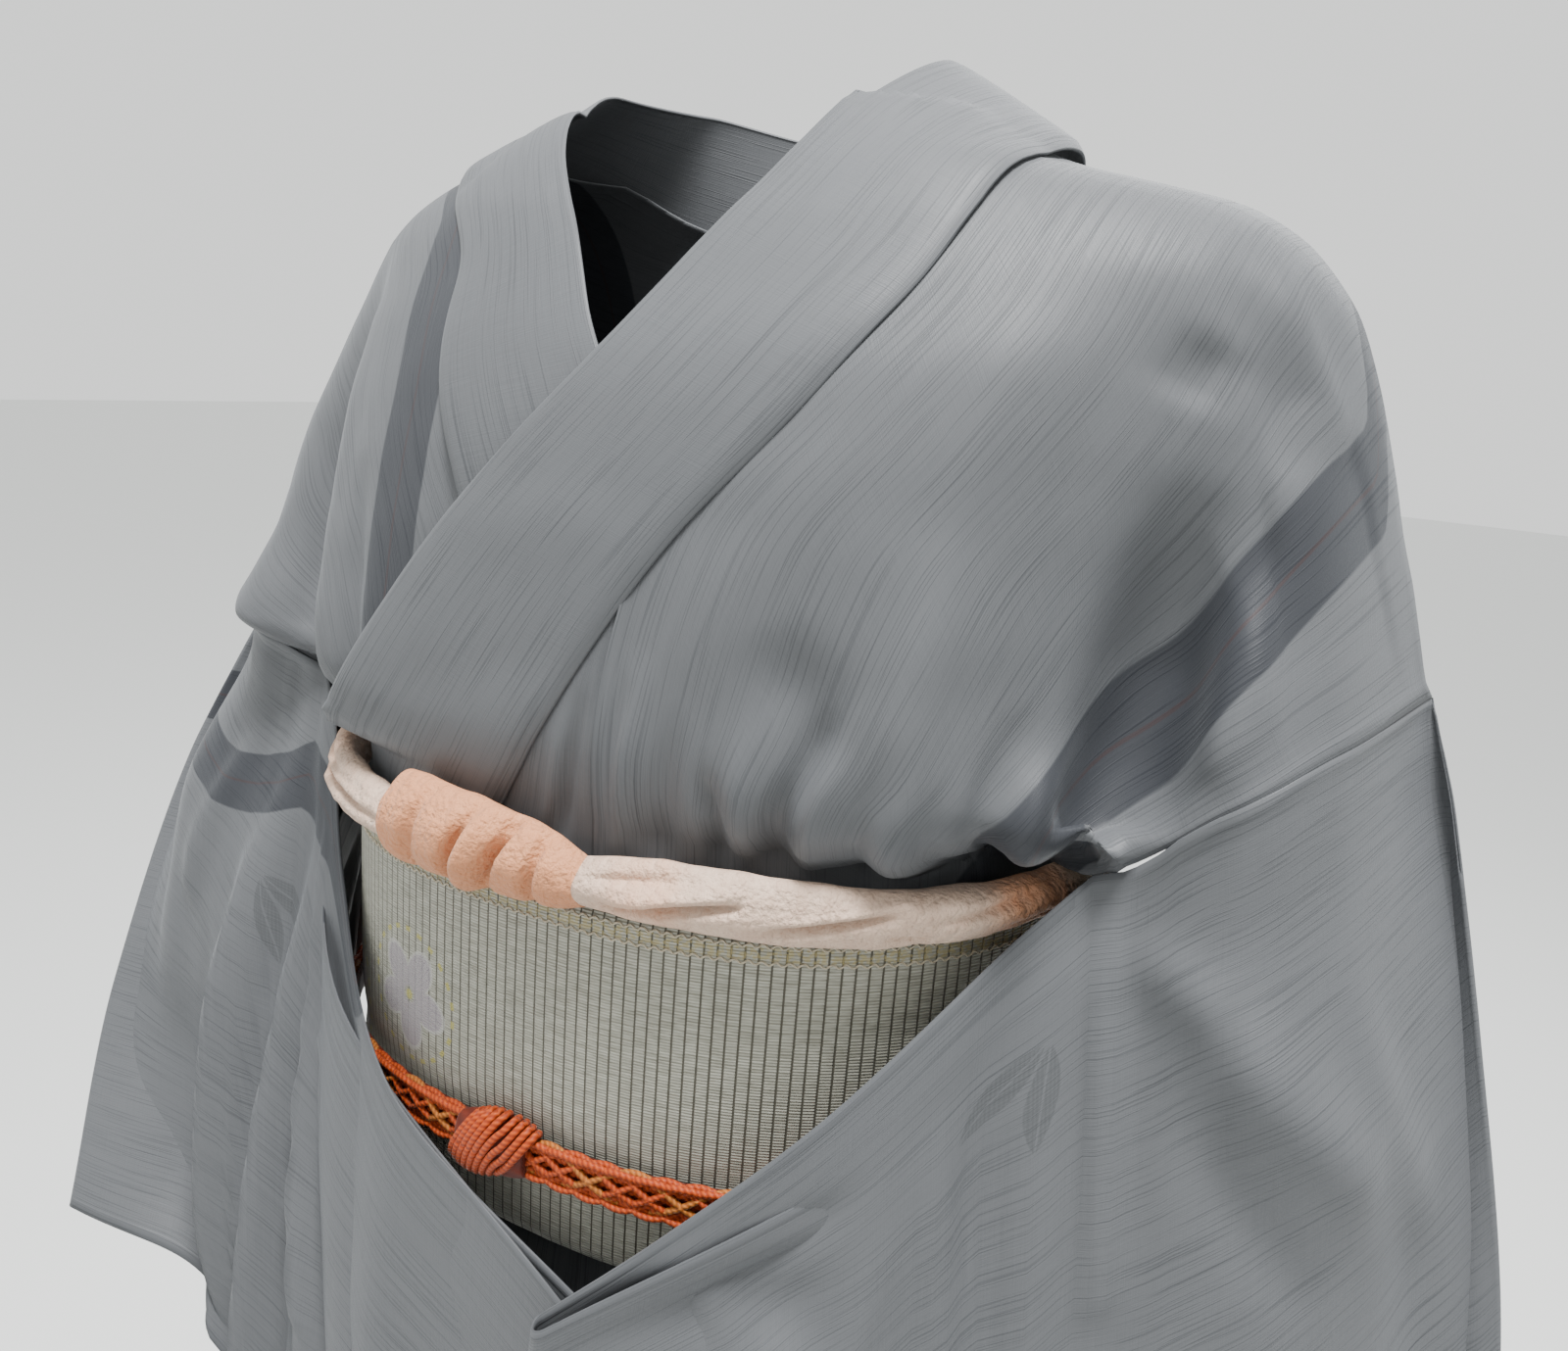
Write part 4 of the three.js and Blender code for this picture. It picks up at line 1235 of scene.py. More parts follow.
LEFT = BodySide(
    sign=1.0,
    neck=118.0,
    shoulder_end=283.0,
    waist_inner=5.9,
    front_inner=Table(
        "at x z", (0, 118, -10.7), (0.22, 102, -64), (0.42, 72, -108), (0.62, 39, -152),
        (0.82, 27, -212), (1, 24, -292),
    ),
    front_outer=Table(
        "at x y z", (0, 283, 15, -190), (0.3, 260, -50, -200), (0.55, 234, -76, -219),
        (0.8, 194, -70, -254), (0.9, 161, -34, -266), (1, 157, -22, -292),
    ),
    back_outer=Table(
        "at x y z", (0, 283, 15, -190), (0.3, 278, 50, -212), (0.55, 252, 66, -234),
        (0.8, 203, 44, -254), (0.9, 163, 26, -266), (1, 159, 24, -292),
    ),
)
RIGHT = BodySide(
    sign=-1.0,
    neck=134.0,
    shoulder_end=297.0,
    waist_inner=-1.8,
    front_inner=Table(
        "at x z", (0, -134, -16), (0.14, -103, -42), (0.27, -77, -70), (0.4, -71, -106),
        (0.54, -54, -140), (0.66, -34, -172), (0.83, -20, -225), (1, -9, -292),
    ),
    front_outer=Table(
        "at x y z", (0, -297, 15, -230), (0.3, -272, -45, -234), (0.55, -232, -72, -243),
        (0.8, -189, -68, -256), (0.9, -161, -34, -267), (1, -157, -22, -292),
    ),
    back_outer=Table(
        "at x y z", (0, -297, 15, -230), (0.3, -290, 46, -240), (0.55, -256, 60, -249),
        (0.8, -203, 42, -257), (0.9, -163, 26, -267), (1, -159, 24, -292),
    ),
)

NO_BAND = 999.0
NO_HEM = 99.0
NO_SPRIG = (9.0, 9.0, 0.0)
TOP_SAMPLES = 501
RING_SAMPLES = (-200, 380, 2401)


@dataclass(frozen=True)
class Sprig:
    """One tonal leaf sprig: where its stem starts on the flat cloth, its size and its turn."""

    x: float
    y: float
    size: float
    turn: float

    def spots(self, x: Array, y: Array) -> Array:
        """Each place in the sprig's own frame, with 1 where it is near.

        Args:
            x: Where each point lies across the cloth.
            y: Where it lies along.

        Returns:
            The places, the last part being the nearness.
        """
        dx, dy = (x - self.x) / self.size, (y - self.y) / self.size
        c, s = math.cos(self.turn), math.sin(self.turn)
        near = (np.hypot(dx, dy) < 1.5).astype(float)
        return places(
            np.clip(dx * c + dy * s, -2, 2), np.clip(dy * c - dx * s, -2, 2), near
        )


def sprigged(sprigs: tuple[Sprig, ...], weave: Array) -> Array:
    """Each place of a sheet in its nearest sprig's frame.

    Args:
        sprigs: The leaf sprigs.
        weave: Where each point lies on the flat cloth.

    Returns:
        The two coordinates and the nearness of each place.
    """
    x, y = weave[..., 0], weave[..., 1]
    spots = np.broadcast_to(np.array(NO_SPRIG), (*x.shape, 3)).copy()
    for sprig in sprigs:
        own = sprig.spots(x, y)
        spots = choose(own[..., 2] > 0.5, own, spots)
    return spots


def cloth_marks(weave: Array, band: Any, hem: Any, sprigs: tuple[Sprig, ...]) -> dict[str, Array]:
    """What the slub cloth's finish reads.

    Args:
        weave: Where each point lies on the flat cloth.
        band: The distance from the middle of the dark band.
        hem: The distance from a turned hem.
        sprigs: The leaf sprigs on this piece.

    Returns:
        The marks by name.
    """
    shape = weave.shape[:2]
    return {
        "Band": np.broadcast_to(band, shape).astype(float),
        "Hem": np.broadcast_to(hem, shape).astype(float),
        "Sprig": sprigged(sprigs, weave),
    }


def net(columns: int, rows: int) -> tuple[Array, Array]:
    """The shares across and down of a grid's points."""
    return np.meshgrid(np.linspace(0, 1, columns + 1), np.linspace(0, 1, rows + 1))


def run_down(spots: Array) -> Array:
    """How far each point lies down its column, along the cloth."""
    steps = np.linalg.norm(np.diff(spots, axis=0), axis=2)
    return np.concatenate([np.zeros((1, spots.shape[1])), np.cumsum(steps, axis=0)])


@dataclass(frozen=True)
class BodyPanel:
    """A body panel, from the tuck in front over the shoulder to the tuck behind."""

    name: str
    side: BodySide
    folds: tuple[Fold, ...]
    back_folds: tuple[Fold, ...]
    sprigs: tuple[Sprig, ...]
    band: Callable[[Array, Array], Array]
    columns: int = 84
    rows: int = 200
    width: float = 240.0
    wall: float = 0.8
    seam_ridge: float = 1.3
    seam_dip: float = 2.6
    seam_close: float = 0.4
    seam_width: float = 1.8
    edge_width: float = 2.0
    swells: float = 0.7
    ripples: float = 0.25

    def build(self, finishes: Finishes) -> Piece:
        """Builds and dresses the panel.

        Args:
            finishes: The garment's materials.

        Returns:
            The new object.
        """
        across, share = net(self.columns, self.rows)
        length = mix(-self.side.tuck_length, self.side.tuck_length, share)
        spots = self.side.face(across, length)
        closing = smooth(0.03, 0, across) * smooth(-0.2, -0.26, length)
        spots[..., 0] -= self.side.sign * self.seam_close * closing
        x, z = spots[..., 0], spots[..., 2]
        front = smooth(-0.04, 0.12, length)
        calm = smooth(0.0, 0.06, across) * (1 - smooth(0.93, 1, across))
        calm = calm * (1 - smooth(1.0, 1.15, np.abs(length)))
        lift = folded(self.folds, x, z) * front + folded(self.back_folds, x, z) * (1 - front)
        lift = (lift + self.swells * uneven(x, z, 46) + self.ripples * uneven(z, x, 15)) * calm
        seam = (1 - across) * self.width
        sewn = smooth(0.84, 0.76, np.abs(length))
        lift = lift + self.seam_ridge * bell(seam, self.seam_width) * sewn
        lift = lift - self.seam_dip * smooth(0.9, 1, across) * sewn
        overlap_edge = bell(across * self.width, self.edge_width) * smooth(0.5, 0.6, length)
        lift = lift + self.seam_ridge * overlap_edge
        weave = np.stack([across * self.width, run_down(spots)], axis=-1)
        marks = cloth_marks(weave, self.band(spots, length), NO_HEM, self.sprigs)
        sheet = Sheet(self.name, spots, weave, marks, flipped=self.side.sign > 0)
        return finished(sheet.lifted(lift), self.wall, finishes.cloth)


@dataclass(frozen=True)
class OverlapPanel:
    """The narrow strip beside a body panel's inner edge."""

    name: str
    side: BodySide
    tip_x: float
    waist_x: float
    waist_angle: float
    tuck_angle: float
    folds: tuple[Fold, ...] = ()
    start: float = 0.6
    gap: float = 0.35
    columns: int = 28
    rows: int = 80
    width: float = 150.0
    wall: float = 0.8

    def face(self, across: Array, length: Array) -> Array:
        """Points of the strip's outer face.

        Args:
            across: The share across.
            length: How far along: 1 at the waist, minus behind.

        Returns:
            The points.
        """
        seam = self.side.face(np.zeros_like(across), length)
        seam[..., 0] -= self.gap * self.side.sign
        lift = self.side.lift(seam, True)
        share = (length - self.start) / (1 - self.start)
        x = mix(mix(self.tip_x, self.waist_x, share), seam[..., 0], across)
        above = places(x, FORM.depth(x, seam[..., 2], True) - lift, seam[..., 2])
        inside = np.maximum(0, length - 1) / (self.side.tuck_length - 1)
        free = mix(self.waist_angle, self.tuck_angle, inside)
        below = FORM.ring(mix(free, self.side.waist_inner, across), seam[..., 2], lift)
        below[..., 0] -= self.gap * self.side.sign * across
        return choose(length > 1, below, above)

    def build(self, finishes: Finishes) -> Piece:
        """Builds and dresses the strip.

        Args:
            finishes: The garment's materials.

        Returns:
            The new object.
        """
        across, share = net(self.columns, self.rows)
        length = mix(self.start, self.side.tuck_length, share)
        spots = self.face(across, length)
        x, z = spots[..., 0], spots[..., 2]
        calm = smooth(1.0, 0.93, across) * smooth(1.15, 1.0, length)
        lift = (folded(self.folds, x, z) + 0.5 * uneven(x, z, 40)) * calm
        groove = -1.4 * bell((1 - across) * 60, 2.4)
        weave = np.stack([across * self.width, run_down(spots)], axis=-1)
        marks = cloth_marks(weave, NO_BAND, NO_HEM, ())
        sheet = Sheet(self.name, spots, weave, marks, flipped=self.side.sign > 0)
        return finished(sheet.lifted(lift + groove * calm), self.wall, finishes.cloth)


@dataclass(frozen=True)
class Collar:
    """The collar: one folded ribbon from under the sash, round the neck and down again."""

    name: str = "collar_cloth"
    middle: float = 0.6
    above: float = 4.0
    columns: int = 18
    rows: int = 300
    width: float = 75.0
    length: float = 1150.0
    wall: float = 1.5
    stations: Table = Table(
        "at seamx seamy seamz edgex edgey edgez own",
        (0, -52, 0, -326, -128, 0, -326, 0),
        (0.06, -33, 0, -292, -128, 0, -268, 0),
        (0.11, -15, 0, -261, -106, 0, -234, 0),
        (0.18, 22, 0, -193, -62, 0, -172, 0),
        (0.24, 47, 0, -153, -28, 0, -130, 0),
        (0.3, 80, 0, -110, 6, 0, -88, 0),
        (0.36, 111, -76, -60, 38, -58, -34, 0.3),
        (0.42, 126, -30, -17, 56, -16, 9, 1),
        (0.47, 130, 20, -5, 68, 32, 30, 1),
        (0.53, 96, 95, -35, 60, 84, 31, 1),
        (0.6, -2, 106, -60, -12, 117, 10, 1),
        (0.67, -98, 91, -42, -84, 86, 22, 1),
        (0.73, -145, 22, -14, -98, 32, 21, 1),
        (0.78, -118, -52, -36, -74, -30, -4, 0.8),
        (0.83, -88, -80, -66, -42, -66, -38, 0.3),
        (0.87, -79, 0, -106, -8, 0, -84, 0),
        (0.91, -54, 0, -154, 28, 0, -132, 0),
        (0.96, -8, 0, -224, 74, 0, -200, 0),
        (1, 10, 0, -250, 86, 0, -222, 0),
    )
    folds: tuple[Fold, ...] = (
        Fold(862, 70, 900, 8, 5, -1.6),
        Fold(350, 60, 420, 20, 16, -0.9),
        Fold(220, 66, 270, 30, 18, 0.8),
        Fold(140, 60, 190, 10, 12, -0.8),
    )

    def face(self, across: Array, along: Array) -> Array:
        """Points of the collar's outer face, kept outside the panels under it.

        Args:
            across: The share across.
            along: The share along.

        Returns:
            The points.
        """
        left = along < self.middle
        own = self.stations.read("own", along)
        seam = self.stations.point(along, "seam")
        edge = self.stations.point(along, "edge")
        spots = mix(seam, edge, across[..., None])
        x, z = spots[..., 0], spots[..., 2]
        lift = np.where(left, LEFT.lift(spots, True), RIGHT.lift(spots, True)) + self.above
        turn = x / FORM.half(x, z)
        out = unit(places(turn, -1.0, 0.0)) * lift[..., None]
        out = out + places(x, FORM.depth(x, z, True, 0.999), z)
        spots = np.where(own[..., None] < 1, mix(spots, out, (1 - own)[..., None]), spots)
        return self._clear(spots, left)

    def _clear(self, spots: Array, left: Array) -> Array:
        """Moves points out until they clear the panel under them.

        Args:
            spots: The points.
            left: Whether each point is on the left side.

        Returns:
            The moved points.
        """
        ahead = spots[..., 1] < FORM.ridge_y
        least = np.where(left, LEFT.lift(spots, ahead), RIGHT.lift(spots, ahead)) + self.above
        for _ in range(6):
            here = FORM.outside(spots)
            slope = np.stack(
                [FORM.outside(spots + step) - here for step in np.eye(3)], axis=-1
            )
            steep = np.linalg.norm(slope, axis=-1)
            short = least - here / np.maximum(steep, 1e-9)
            move = np.where((spots[..., 2] <= 4) & (short > 0), short, 0.0)
            spots = spots + unit(slope) * move[..., None]
        return spots

    def build(self, finishes: Finishes) -> Piece:
        """Builds and dresses the collar.

        Args:
            finishes: The garment's materials.

        Returns:
            The new object.
        """
        across, along = net(self.columns, self.rows)
        across = eased(across)
        spots = self.face(across, along)
        wide, far = across * self.width, along * self.length
        rounded = 1.6 * (np.clip(4 * across * (1 - across), 0, 1) ** 0.35) - 1.6
        sewn = -1.6 * bell(wide, 3.0)
        lift = rounded + sewn + folded(self.folds, far, wide)
        lift = lift + 0.35 * uneven(far, wide, 38) * np.sin(np.pi * across)
        weave = np.stack([wide, far], axis=-1)
        marks = cloth_marks(weave, NO_BAND, NO_HEM, ())
        sheet = Sheet(self.name, spots, weave, marks, flipped=True)
        return finished(sheet.lifted(lift), self.wall, finishes.cloth)


# ---------------------------------------------------------------- sleeves and skirt


@dataclass(frozen=True)
class Sleeve:
    """One sleeve: a length folded at the shoulder line, open at the cuff."""

    name: str
    side: BodySide
    ridge: Table
    fold: Table
    free_front: tuple[tuple[float, ...], ...]
    free_back: tuple[tuple[float, ...], ...]
    cuff: tuple[tuple[float, ...], ...]
    folds: tuple[Fold, ...]
    creases: tuple[Fold, ...]
    sprigs: tuple[Sprig, ...]
    band: Optional[Table] = None
    drop: float = 490.0
    width: float = 350.0
    sewn: float = 0.47
    hollow: float = 3.6
    seam_fill: float = 2.6
    fill_rise: tuple[float, float] = (0.0, 0.018)
    fill_fall: tuple[float, float] = (0.3, 0.06)
    fill_fade: float = 0.08
    cuff_sewn: float = 1.75
    columns: int = 250
    rows: int = 110
    wall: float = 0.8

    def _edge(self, start: Array, end: Array, between: tuple[tuple[float, ...], ...]) -> Table:
        """An edge between two points, through the stated ones."""
        return Table("at x y z", (0, *start), *between, (1, *end))

    @lru_cache(maxsize=None)
    def _top_line(self, front: bool) -> tuple[Array, Array]:
        """The top edge's shares and points: along the body, then free to the bottom fold.

        Args:
            front: Whether the front is meant.

        Returns:
            The shares and the points.
        """
        share = np.linspace(0, 1, TOP_SAMPLES)
        sign = 1.0 if front else -1.0
        end = self.side.armhole_end
        along = sign * end * np.minimum(share, self.sewn) / self.sewn
        body = self.side.face(np.ones_like(share), along)
        start = self.side.face(np.array(1.0), np.array(sign * end))
        between = self.free_front if front else self.free_back
        edge = self._edge(start, self.fold.point(0.0), between)
        free = edge.point((share - self.sewn) / (1 - self.sewn))
        return share, choose(share <= self.sewn, body, free)

    def _top(self, share: Array, front: bool) -> Array:
        """The top edge's point at each share."""
        shares, line = self._top_line(front)
        return places(*(np.interp(share, shares, line[:, axis]) for axis in range(3)))

    def layer(self, share: Array, down: Array, front: bool) -> Array:
        """One layer of the sleeve, in front or behind.

        Args:
            share: The share along the top edge, to the bottom fold.
            down: The share down.
            front: Whether the front is meant.

        Returns:
            The points.
        """
        cuff = self._edge(self.ridge.point(1.0), self.fold.point(1.0), self.cuff)
        zero, one = np.array(0.0), np.array(1.0)
        corners = np.array(
            [self._top(zero, front), self._top(one, front), cuff.point(zero), cuff.point(one)]
        )
        return coons(
            self._top(share, front), cuff.point(share), self.ridge.point(down),
            self.fold.point(down), corners, share, down,
        )

    def _middle(self, share: Array, down: Array) -> Array:
        """Halfway between the two layers."""
        return (self.layer(share, down, True) + self.layer(share, down, False)) / 2

    def face(self, around: Array, down: Array) -> Array:
        """Points round the sleeve: down the front layer and back up the one behind it.

        Args:
            around: The share round the sleeve.
            down: The share of the way to the cuff.

        Returns:
            The points.
        """
        front = around <= 0.5
        run = np.where(front, around * 2, 2 - around * 2)
        share = eased(run)
        step = 0.01
        across = self._middle(np.minimum(1, share + step), down)
        across = across - self._middle(np.maximum(0, share - step), down)
        along = self._middle(share, np.minimum(1, down + step))
        along = along - self._middle(share, np.maximum(0, down - step))
        normal = unit(np.cross(along, across)) * self.side.sign
        tip = np.minimum(share, 1 - share) * self.drop
        rounded = np.sqrt(np.clip(1 - (1 - tip / self.hollow) ** 2, 0, 1))
        cap = np.where(tip < self.hollow, rounded, 1)
        cuff_sewn = smooth(0.42, 0.5, share) * smooth(0.9, 1, down)
        opened = np.maximum(smooth(0, 0.12, down), smooth(self.sewn, self.sewn + 0.06, share))
        half = mix(self.hollow, self.cuff_sewn, cuff_sewn) * cap * opened
        beside_seam = smooth(*self.fill_rise, down) * smooth(*self.fill_fall, down)
        joined_part = smooth(self.sewn, self.sewn - self.fill_fade, share)
        half = half + self.seam_fill * beside_seam * cap * joined_part
        rise = smooth(0, 0.1, down) * smooth(0, 0.06, share)
        x, y = share * self.drop, down * self.width
        lift = folded(self.folds + self.creases, x, y) + 0.9 * uneven(x, y, 52)
        spots = choose(front, self.layer(share, down, True), self.layer(share, down, False))
        own = uneven(y, x, 33) * np.where(front, 0.5, -0.5) * cap
        return spots + normal * (lift * rise + np.where(front, half, -half) + own * rise)[..., None]

    def build(self, finishes: Finishes) -> Piece:
        """Builds and dresses the sleeve.

        Args:
            finishes: The garment's materials.

        Returns:
            The new object.
        """
        around, share_down = net(self.columns, self.rows)
        spots = self.face(around, mix(0.4 / self.width, 1, share_down))
        run = np.where(around <= 0.5, around * 2, 2 - around * 2)
        share = eased(run)
        down = share_down * self.width
        weave = np.stack([down, share * self.drop], axis=-1)
        free = smooth(self.sewn, self.sewn + 0.01, share)
        hem = np.minimum(mix(NO_HEM, down, free), self.width - down)
        band = np.full(down.shape, NO_BAND)
        if self.band:
            band = down - self.band.read("down", share * self.drop)
        marks = cloth_marks(weave, band, hem, self.sprigs)
        sheet = Sheet(self.name, spots, weave, marks, rolled=True, flipped=self.side.sign < 0)
        return finished(sheet, self.wall, finishes.cloth)


class SkirtLayer(Enum):
    """How far a skirt panel lies outside the form, inside the tuck and below it."""

    OVER = (-0.8, 5.6)
    UNDER = (-3.2, 1.6)
    SIDE = (-2.0, 1.6)


@dataclass(frozen=True)
class SkirtPanel:
    """A skirt panel, from inside the tuck to the hem."""

    name: str
    start: float
    end: float
    layer: SkirtLayer
    band_at: float
    top: float = -462.0
    seam_gap: float = 0.02
    seam_depth: float = 0.6
    seam_width: float = 2.2
    tuck_clear: float = -575.0
    calm_levels: tuple[float, float] = (-560.0, -640.0)
    hang_levels: tuple[float, float] = (-600.0, -900.0)
    hang: float = 1.6
    unevenness: float = 0.8
    width: float = 240.0
    sprigs: tuple[Sprig, ...] = (Sprig(70, 420, 46, 1.2), Sprig(170, 640, 50, 2.0))
    columns: int = 40
    rows: int = 76
    wall: float = 0.8

    def build(self, finishes: Finishes) -> Piece:
        """Builds and dresses the panel.

        Args:
            finishes: The garment's materials.

        Returns:
            The new object.
        """
        across, share = net(self.columns, self.rows)
        z = mix(self.top, FORM.hem, share)
        start = self.start + self.seam_gap * (self.start != 180)
        angle = mix(start, self.end - self.seam_gap * (self.end != 180), across)
        to_side = smooth(45, LEFT.side_seam, np.abs((angle + 180) % 360 - 180))
        below = 1 - smooth(self.tuck_clear, FORM.tuck_bottom, z)
        own = mix(self.layer.value[0], self.layer.value[1], below)
        side = mix(SkirtLayer.SIDE.value[0], SkirtLayer.SIDE.value[1], below)
        spots = FORM.ring(angle, z, mix(own, side, to_side))
        calm = smooth(0, 0.08, across) * smooth(1, 0.92, across) * smooth(*self.calm_levels, z)
        waves = np.sin(np.radians(angle * 7) + z / 260) * smooth(*self.hang_levels, z)
        lift = (self.hang * waves + self.unevenness * uneven(angle * 2.6, z, 70)) * calm
        seam = bell(across * self.width, self.seam_width)
        seam = seam + bell((1 - across) * self.width, self.seam_width)
        lift = lift - self.seam_depth * seam * below
        weave = np.stack([across * self.width, (self.top - z)], axis=-1)
        band = (across - self.band_at) * self.width if self.band_at else NO_BAND
        marks = cloth_marks(weave, band, z - FORM.hem, self.sprigs)
        sheet = Sheet(self.name, spots, weave, marks, flipped=True)
        return finished(sheet.lifted(lift), self.wall, finishes.cloth)


# ---------------------------------------------------------------- sash


@dataclass(frozen=True)
class SashRing:
    """Where the sash's level ring lies, and how it rises to the left."""

    height: float = 155.0
    rise: float = 0.045
    layer: float = 16.2

    def point(self, degrees: Array, z: Array, layer: Array) -> Array:
        """Points outside the ring, at any height.

        Args:
            degrees: The angles.
            z: The levels.
            layer: How far outside the form.

        Returns:
            The points.
        """
        degrees, z, layer = np.broadcast_arrays(degrees, z, layer)
        spots = FORM.ring(degrees, np.full(degrees.shape, FORM.obi_top), layer)
        spots[..., 2] = z + self.rise * spots[..., 0]
        return spots

    def around(self, degrees: Array) -> Array:
        """How far round the sash each angle lies, in millimetres, from the front.

        Args:
            degrees: The angles.

        Returns:
            The distances.
        """
        fine = np.linspace(*RING_SAMPLES)
        ring = self.point(fine, FORM.obi_top, self.layer)
        steps = np.linalg.norm(np.diff(ring[:, :2], axis=0), axis=1)
        run = np.concatenate([[0], np.cumsum(steps)])
        return np.interp(degrees, fine, run) - np.interp(0.0, fine, run)


RING = SashRing()


@dataclass(frozen=True)
class Flower:
    """A flower worked on the sash: where it lies round it, and its size."""

    angle: float
    below: float
    size: float
    turn: float


def sash_marks(around: Array, below: Array, flowers: tuple[Flower, ...]) -> dict[str, Array]:
    """What the sash's finish reads: how far below its top edge, and its flowers.

    Args:
        around: How far round the sash each point lies.
        below: How far below its top edge.
        flowers: Its flowers.

    Returns:
        The marks by name.
    """
    sprigs = tuple(
        Sprig(float(RING.around(np.array(flower.angle))), -flower.below, flower.size, flower.turn)
        for flower in flowers
    )
    spots = sprigged(sprigs, np.stack([around, -below], axis=-1))
    return {"Hem": below.astype(float), "Flower": spots}


@dataclass(frozen=True)
class ObiBand:
    """The sash where it is wound round the body."""

    name: str = "obi_band_cloth"
    columns: int = 380
    rows: int = 34
    cord_below: float = 111.0
    cord_press: float = 1.4
    cord_spread: float = 11.0
    edge_roll: float = 1.2
    edge_width: float = 1.6
    unevenness: float = 0.5
    wall: float = 2.0
    flowers: tuple[Flower, ...] = (
        Flower(-19.0, 70.0, 27.0, 0.4),
        Flower(-48.0, 92.0, 30.0, 1.0),
        Flower(150.0, 60.0, 30.0, 0.0),
        Flower(100.0, 96.0, 28.0, 0.7),
    )

    def build(self, finishes: Finishes) -> Piece:
        """Builds and dresses the band.

        Args:
            finishes: The garment's materials.

        Returns:
            The new object.
        """
        across, share = net(self.columns, self.rows)
        degrees = across * 360 - 180
        below = share * RING.height
        belly = np.sin(np.pi * share)
        pressed = -self.cord_press * bell(below - self.cord_below, self.cord_spread)
        ends = bell(below, self.edge_width) + bell(RING.height - below, self.edge_width)
        rolled_edge = -self.edge_roll * ends
        layer = RING.layer + belly + pressed + rolled_edge
        around = RING.around(degrees)
        layer = layer + self.unevenness * uneven(around, below, 70)
        spots = RING.point(degrees, FORM.obi_top - below, layer)
        weave = np.stack([around, -below], axis=-1)
        marks = sash_marks(around, below, self.flowers)
        sheet = Sheet(self.name, spots, weave, marks, rolled=True, flipped=True)
        return finished(sheet, self.wall, finishes.sash)


@dataclass(frozen=True)
class BackStrip:
    """A strip of the sash across the back, along a side view of its own."""

    name: str
    profile: Table
    half_width: float
    flowers: tuple[tuple[float, float, float], ...] = ()
    columns: int = 56
    rows: int = 60
    wall: float = 2.4
    sag: float = 0.0

    def build(self, finishes: Finishes) -> Piece:
        """Builds and dresses the strip.

        Args:
            finishes: The garment's materials.

        Returns:
            The new object.
        """
        across, along = net(self.columns, self.rows)
        layer = self.profile.read("layer", along)
        half = FORM.sections.read("left", FORM.obi_top) + layer
        depth = FORM.behind(FORM.obi_top) + layer
        x = mix(-self.half_width, self.half_width, across)
        share = (1 - np.abs(x / half) ** FORM.roundness) ** (1 / FORM.roundness)
        z = self.profile.read("z", along) + RING.rise * x
        spots = places(x, FORM.ridge_y + depth * share, z)
        run = run_down(spots)
        calm = smooth(0, 0.05, across) * smooth(1, 0.95, across)
        lift = (self.sag * uneven(x, run, 60)) * calm
        weave = np.stack([x, -run], axis=-1)
        sprigs = tuple(Sprig(*place, 0.3) for place in self.flowers)
        petals = sprigged(sprigs, np.stack([x, run], axis=-1))
        marks = {"Hem": np.full(x.shape, NO_HEM), "Flower": petals}
        sheet = Sheet(self.name, spots, weave, marks, flipped=False)
        return finished(sheet.lifted(lift), self.wall, finishes.sash)


# ---------------------------------------------------------------- scarf and cord


@dataclass(frozen=True)
class Wash:
    """A patch of colour on the scarf, between two places round the body."""

    start: float
    end: float
    strength: float

    def at(self, degrees: Array) -> Array:
        """Its strength at each angle.

        Args:
            degrees: The angles.

        Returns:
            The strengths.
        """
        low, high = min(self.start, self.end), max(self.start, self.end)
        soft = (high - low) * 0.3
        return self.strength * smooth(low - soft, low + soft, degrees) * smooth(
            high + soft, high - soft, degrees
        )


@dataclass(frozen=True)
class ScarfRoll:
    """A soft roll of the scarf round the body, with listed creases."""

    name: str
    stations: Table
    twist: float = 0.0
    creases: tuple[Fold, ...] = ()
    blush: tuple[Wash, ...] = ()
    yellow: tuple[Wash, ...] = ()
    knot: bool = False
    columns: int = 60
    rows: int = 170
    fill: float = 0.5

    def build(self, finishes: Finishes) -> Piece:
        """Builds and dresses the roll.

        Args:
            finishes: The garment's materials.

        Returns:
            The new object.
        """
        around, along = net(self.columns, self.rows)
        turn = 2 * np.pi * around
        sway = 1 + 0.07 * np.cos(3 * turn + self.twist * along)
        read = self.stations.read
        degrees = read("angle", along)
        run = RING.around(degrees)
        run = run if self.knot else np.abs(run)
        up = np.sin(turn) * read("height", along)
        outer = smooth(-0.35, 0.25, np.cos(turn))
        lift = folded(self.creases, run, up) * outer
        lift = lift + 0.55 * uneven(run, up * 1.6, 13) + 0.3 * uneven(up, run, 5)
        lift = lift * smooth(0, 0.04, along) * smooth(1, 0.96, along)
        layer = read("layer", along) + (read("depth", along) + lift) * np.cos(turn) * sway
        rise = (read("height", along) + lift * 0.7) * np.sin(turn) * sway
        spots = RING.point(degrees, FORM.obi_top + read("z", along) + rise, layer)
        weave = np.stack([run, turn * 12.0], axis=-1)
        none = np.zeros(degrees.shape)
        marks = {
            "Blush": sum((wash.at(degrees) for wash in self.blush), none),
            "Yellow": sum((wash.at(degrees) for wash in self.yellow), none),
        }
        piece = capped(Sheet(self.name, spots, weave, marks, rolled=True).build())
        material = finishes.knot if self.knot else finishes.scarf
        return dressed(piece, material, (self.name.replace("_silk", ""),))


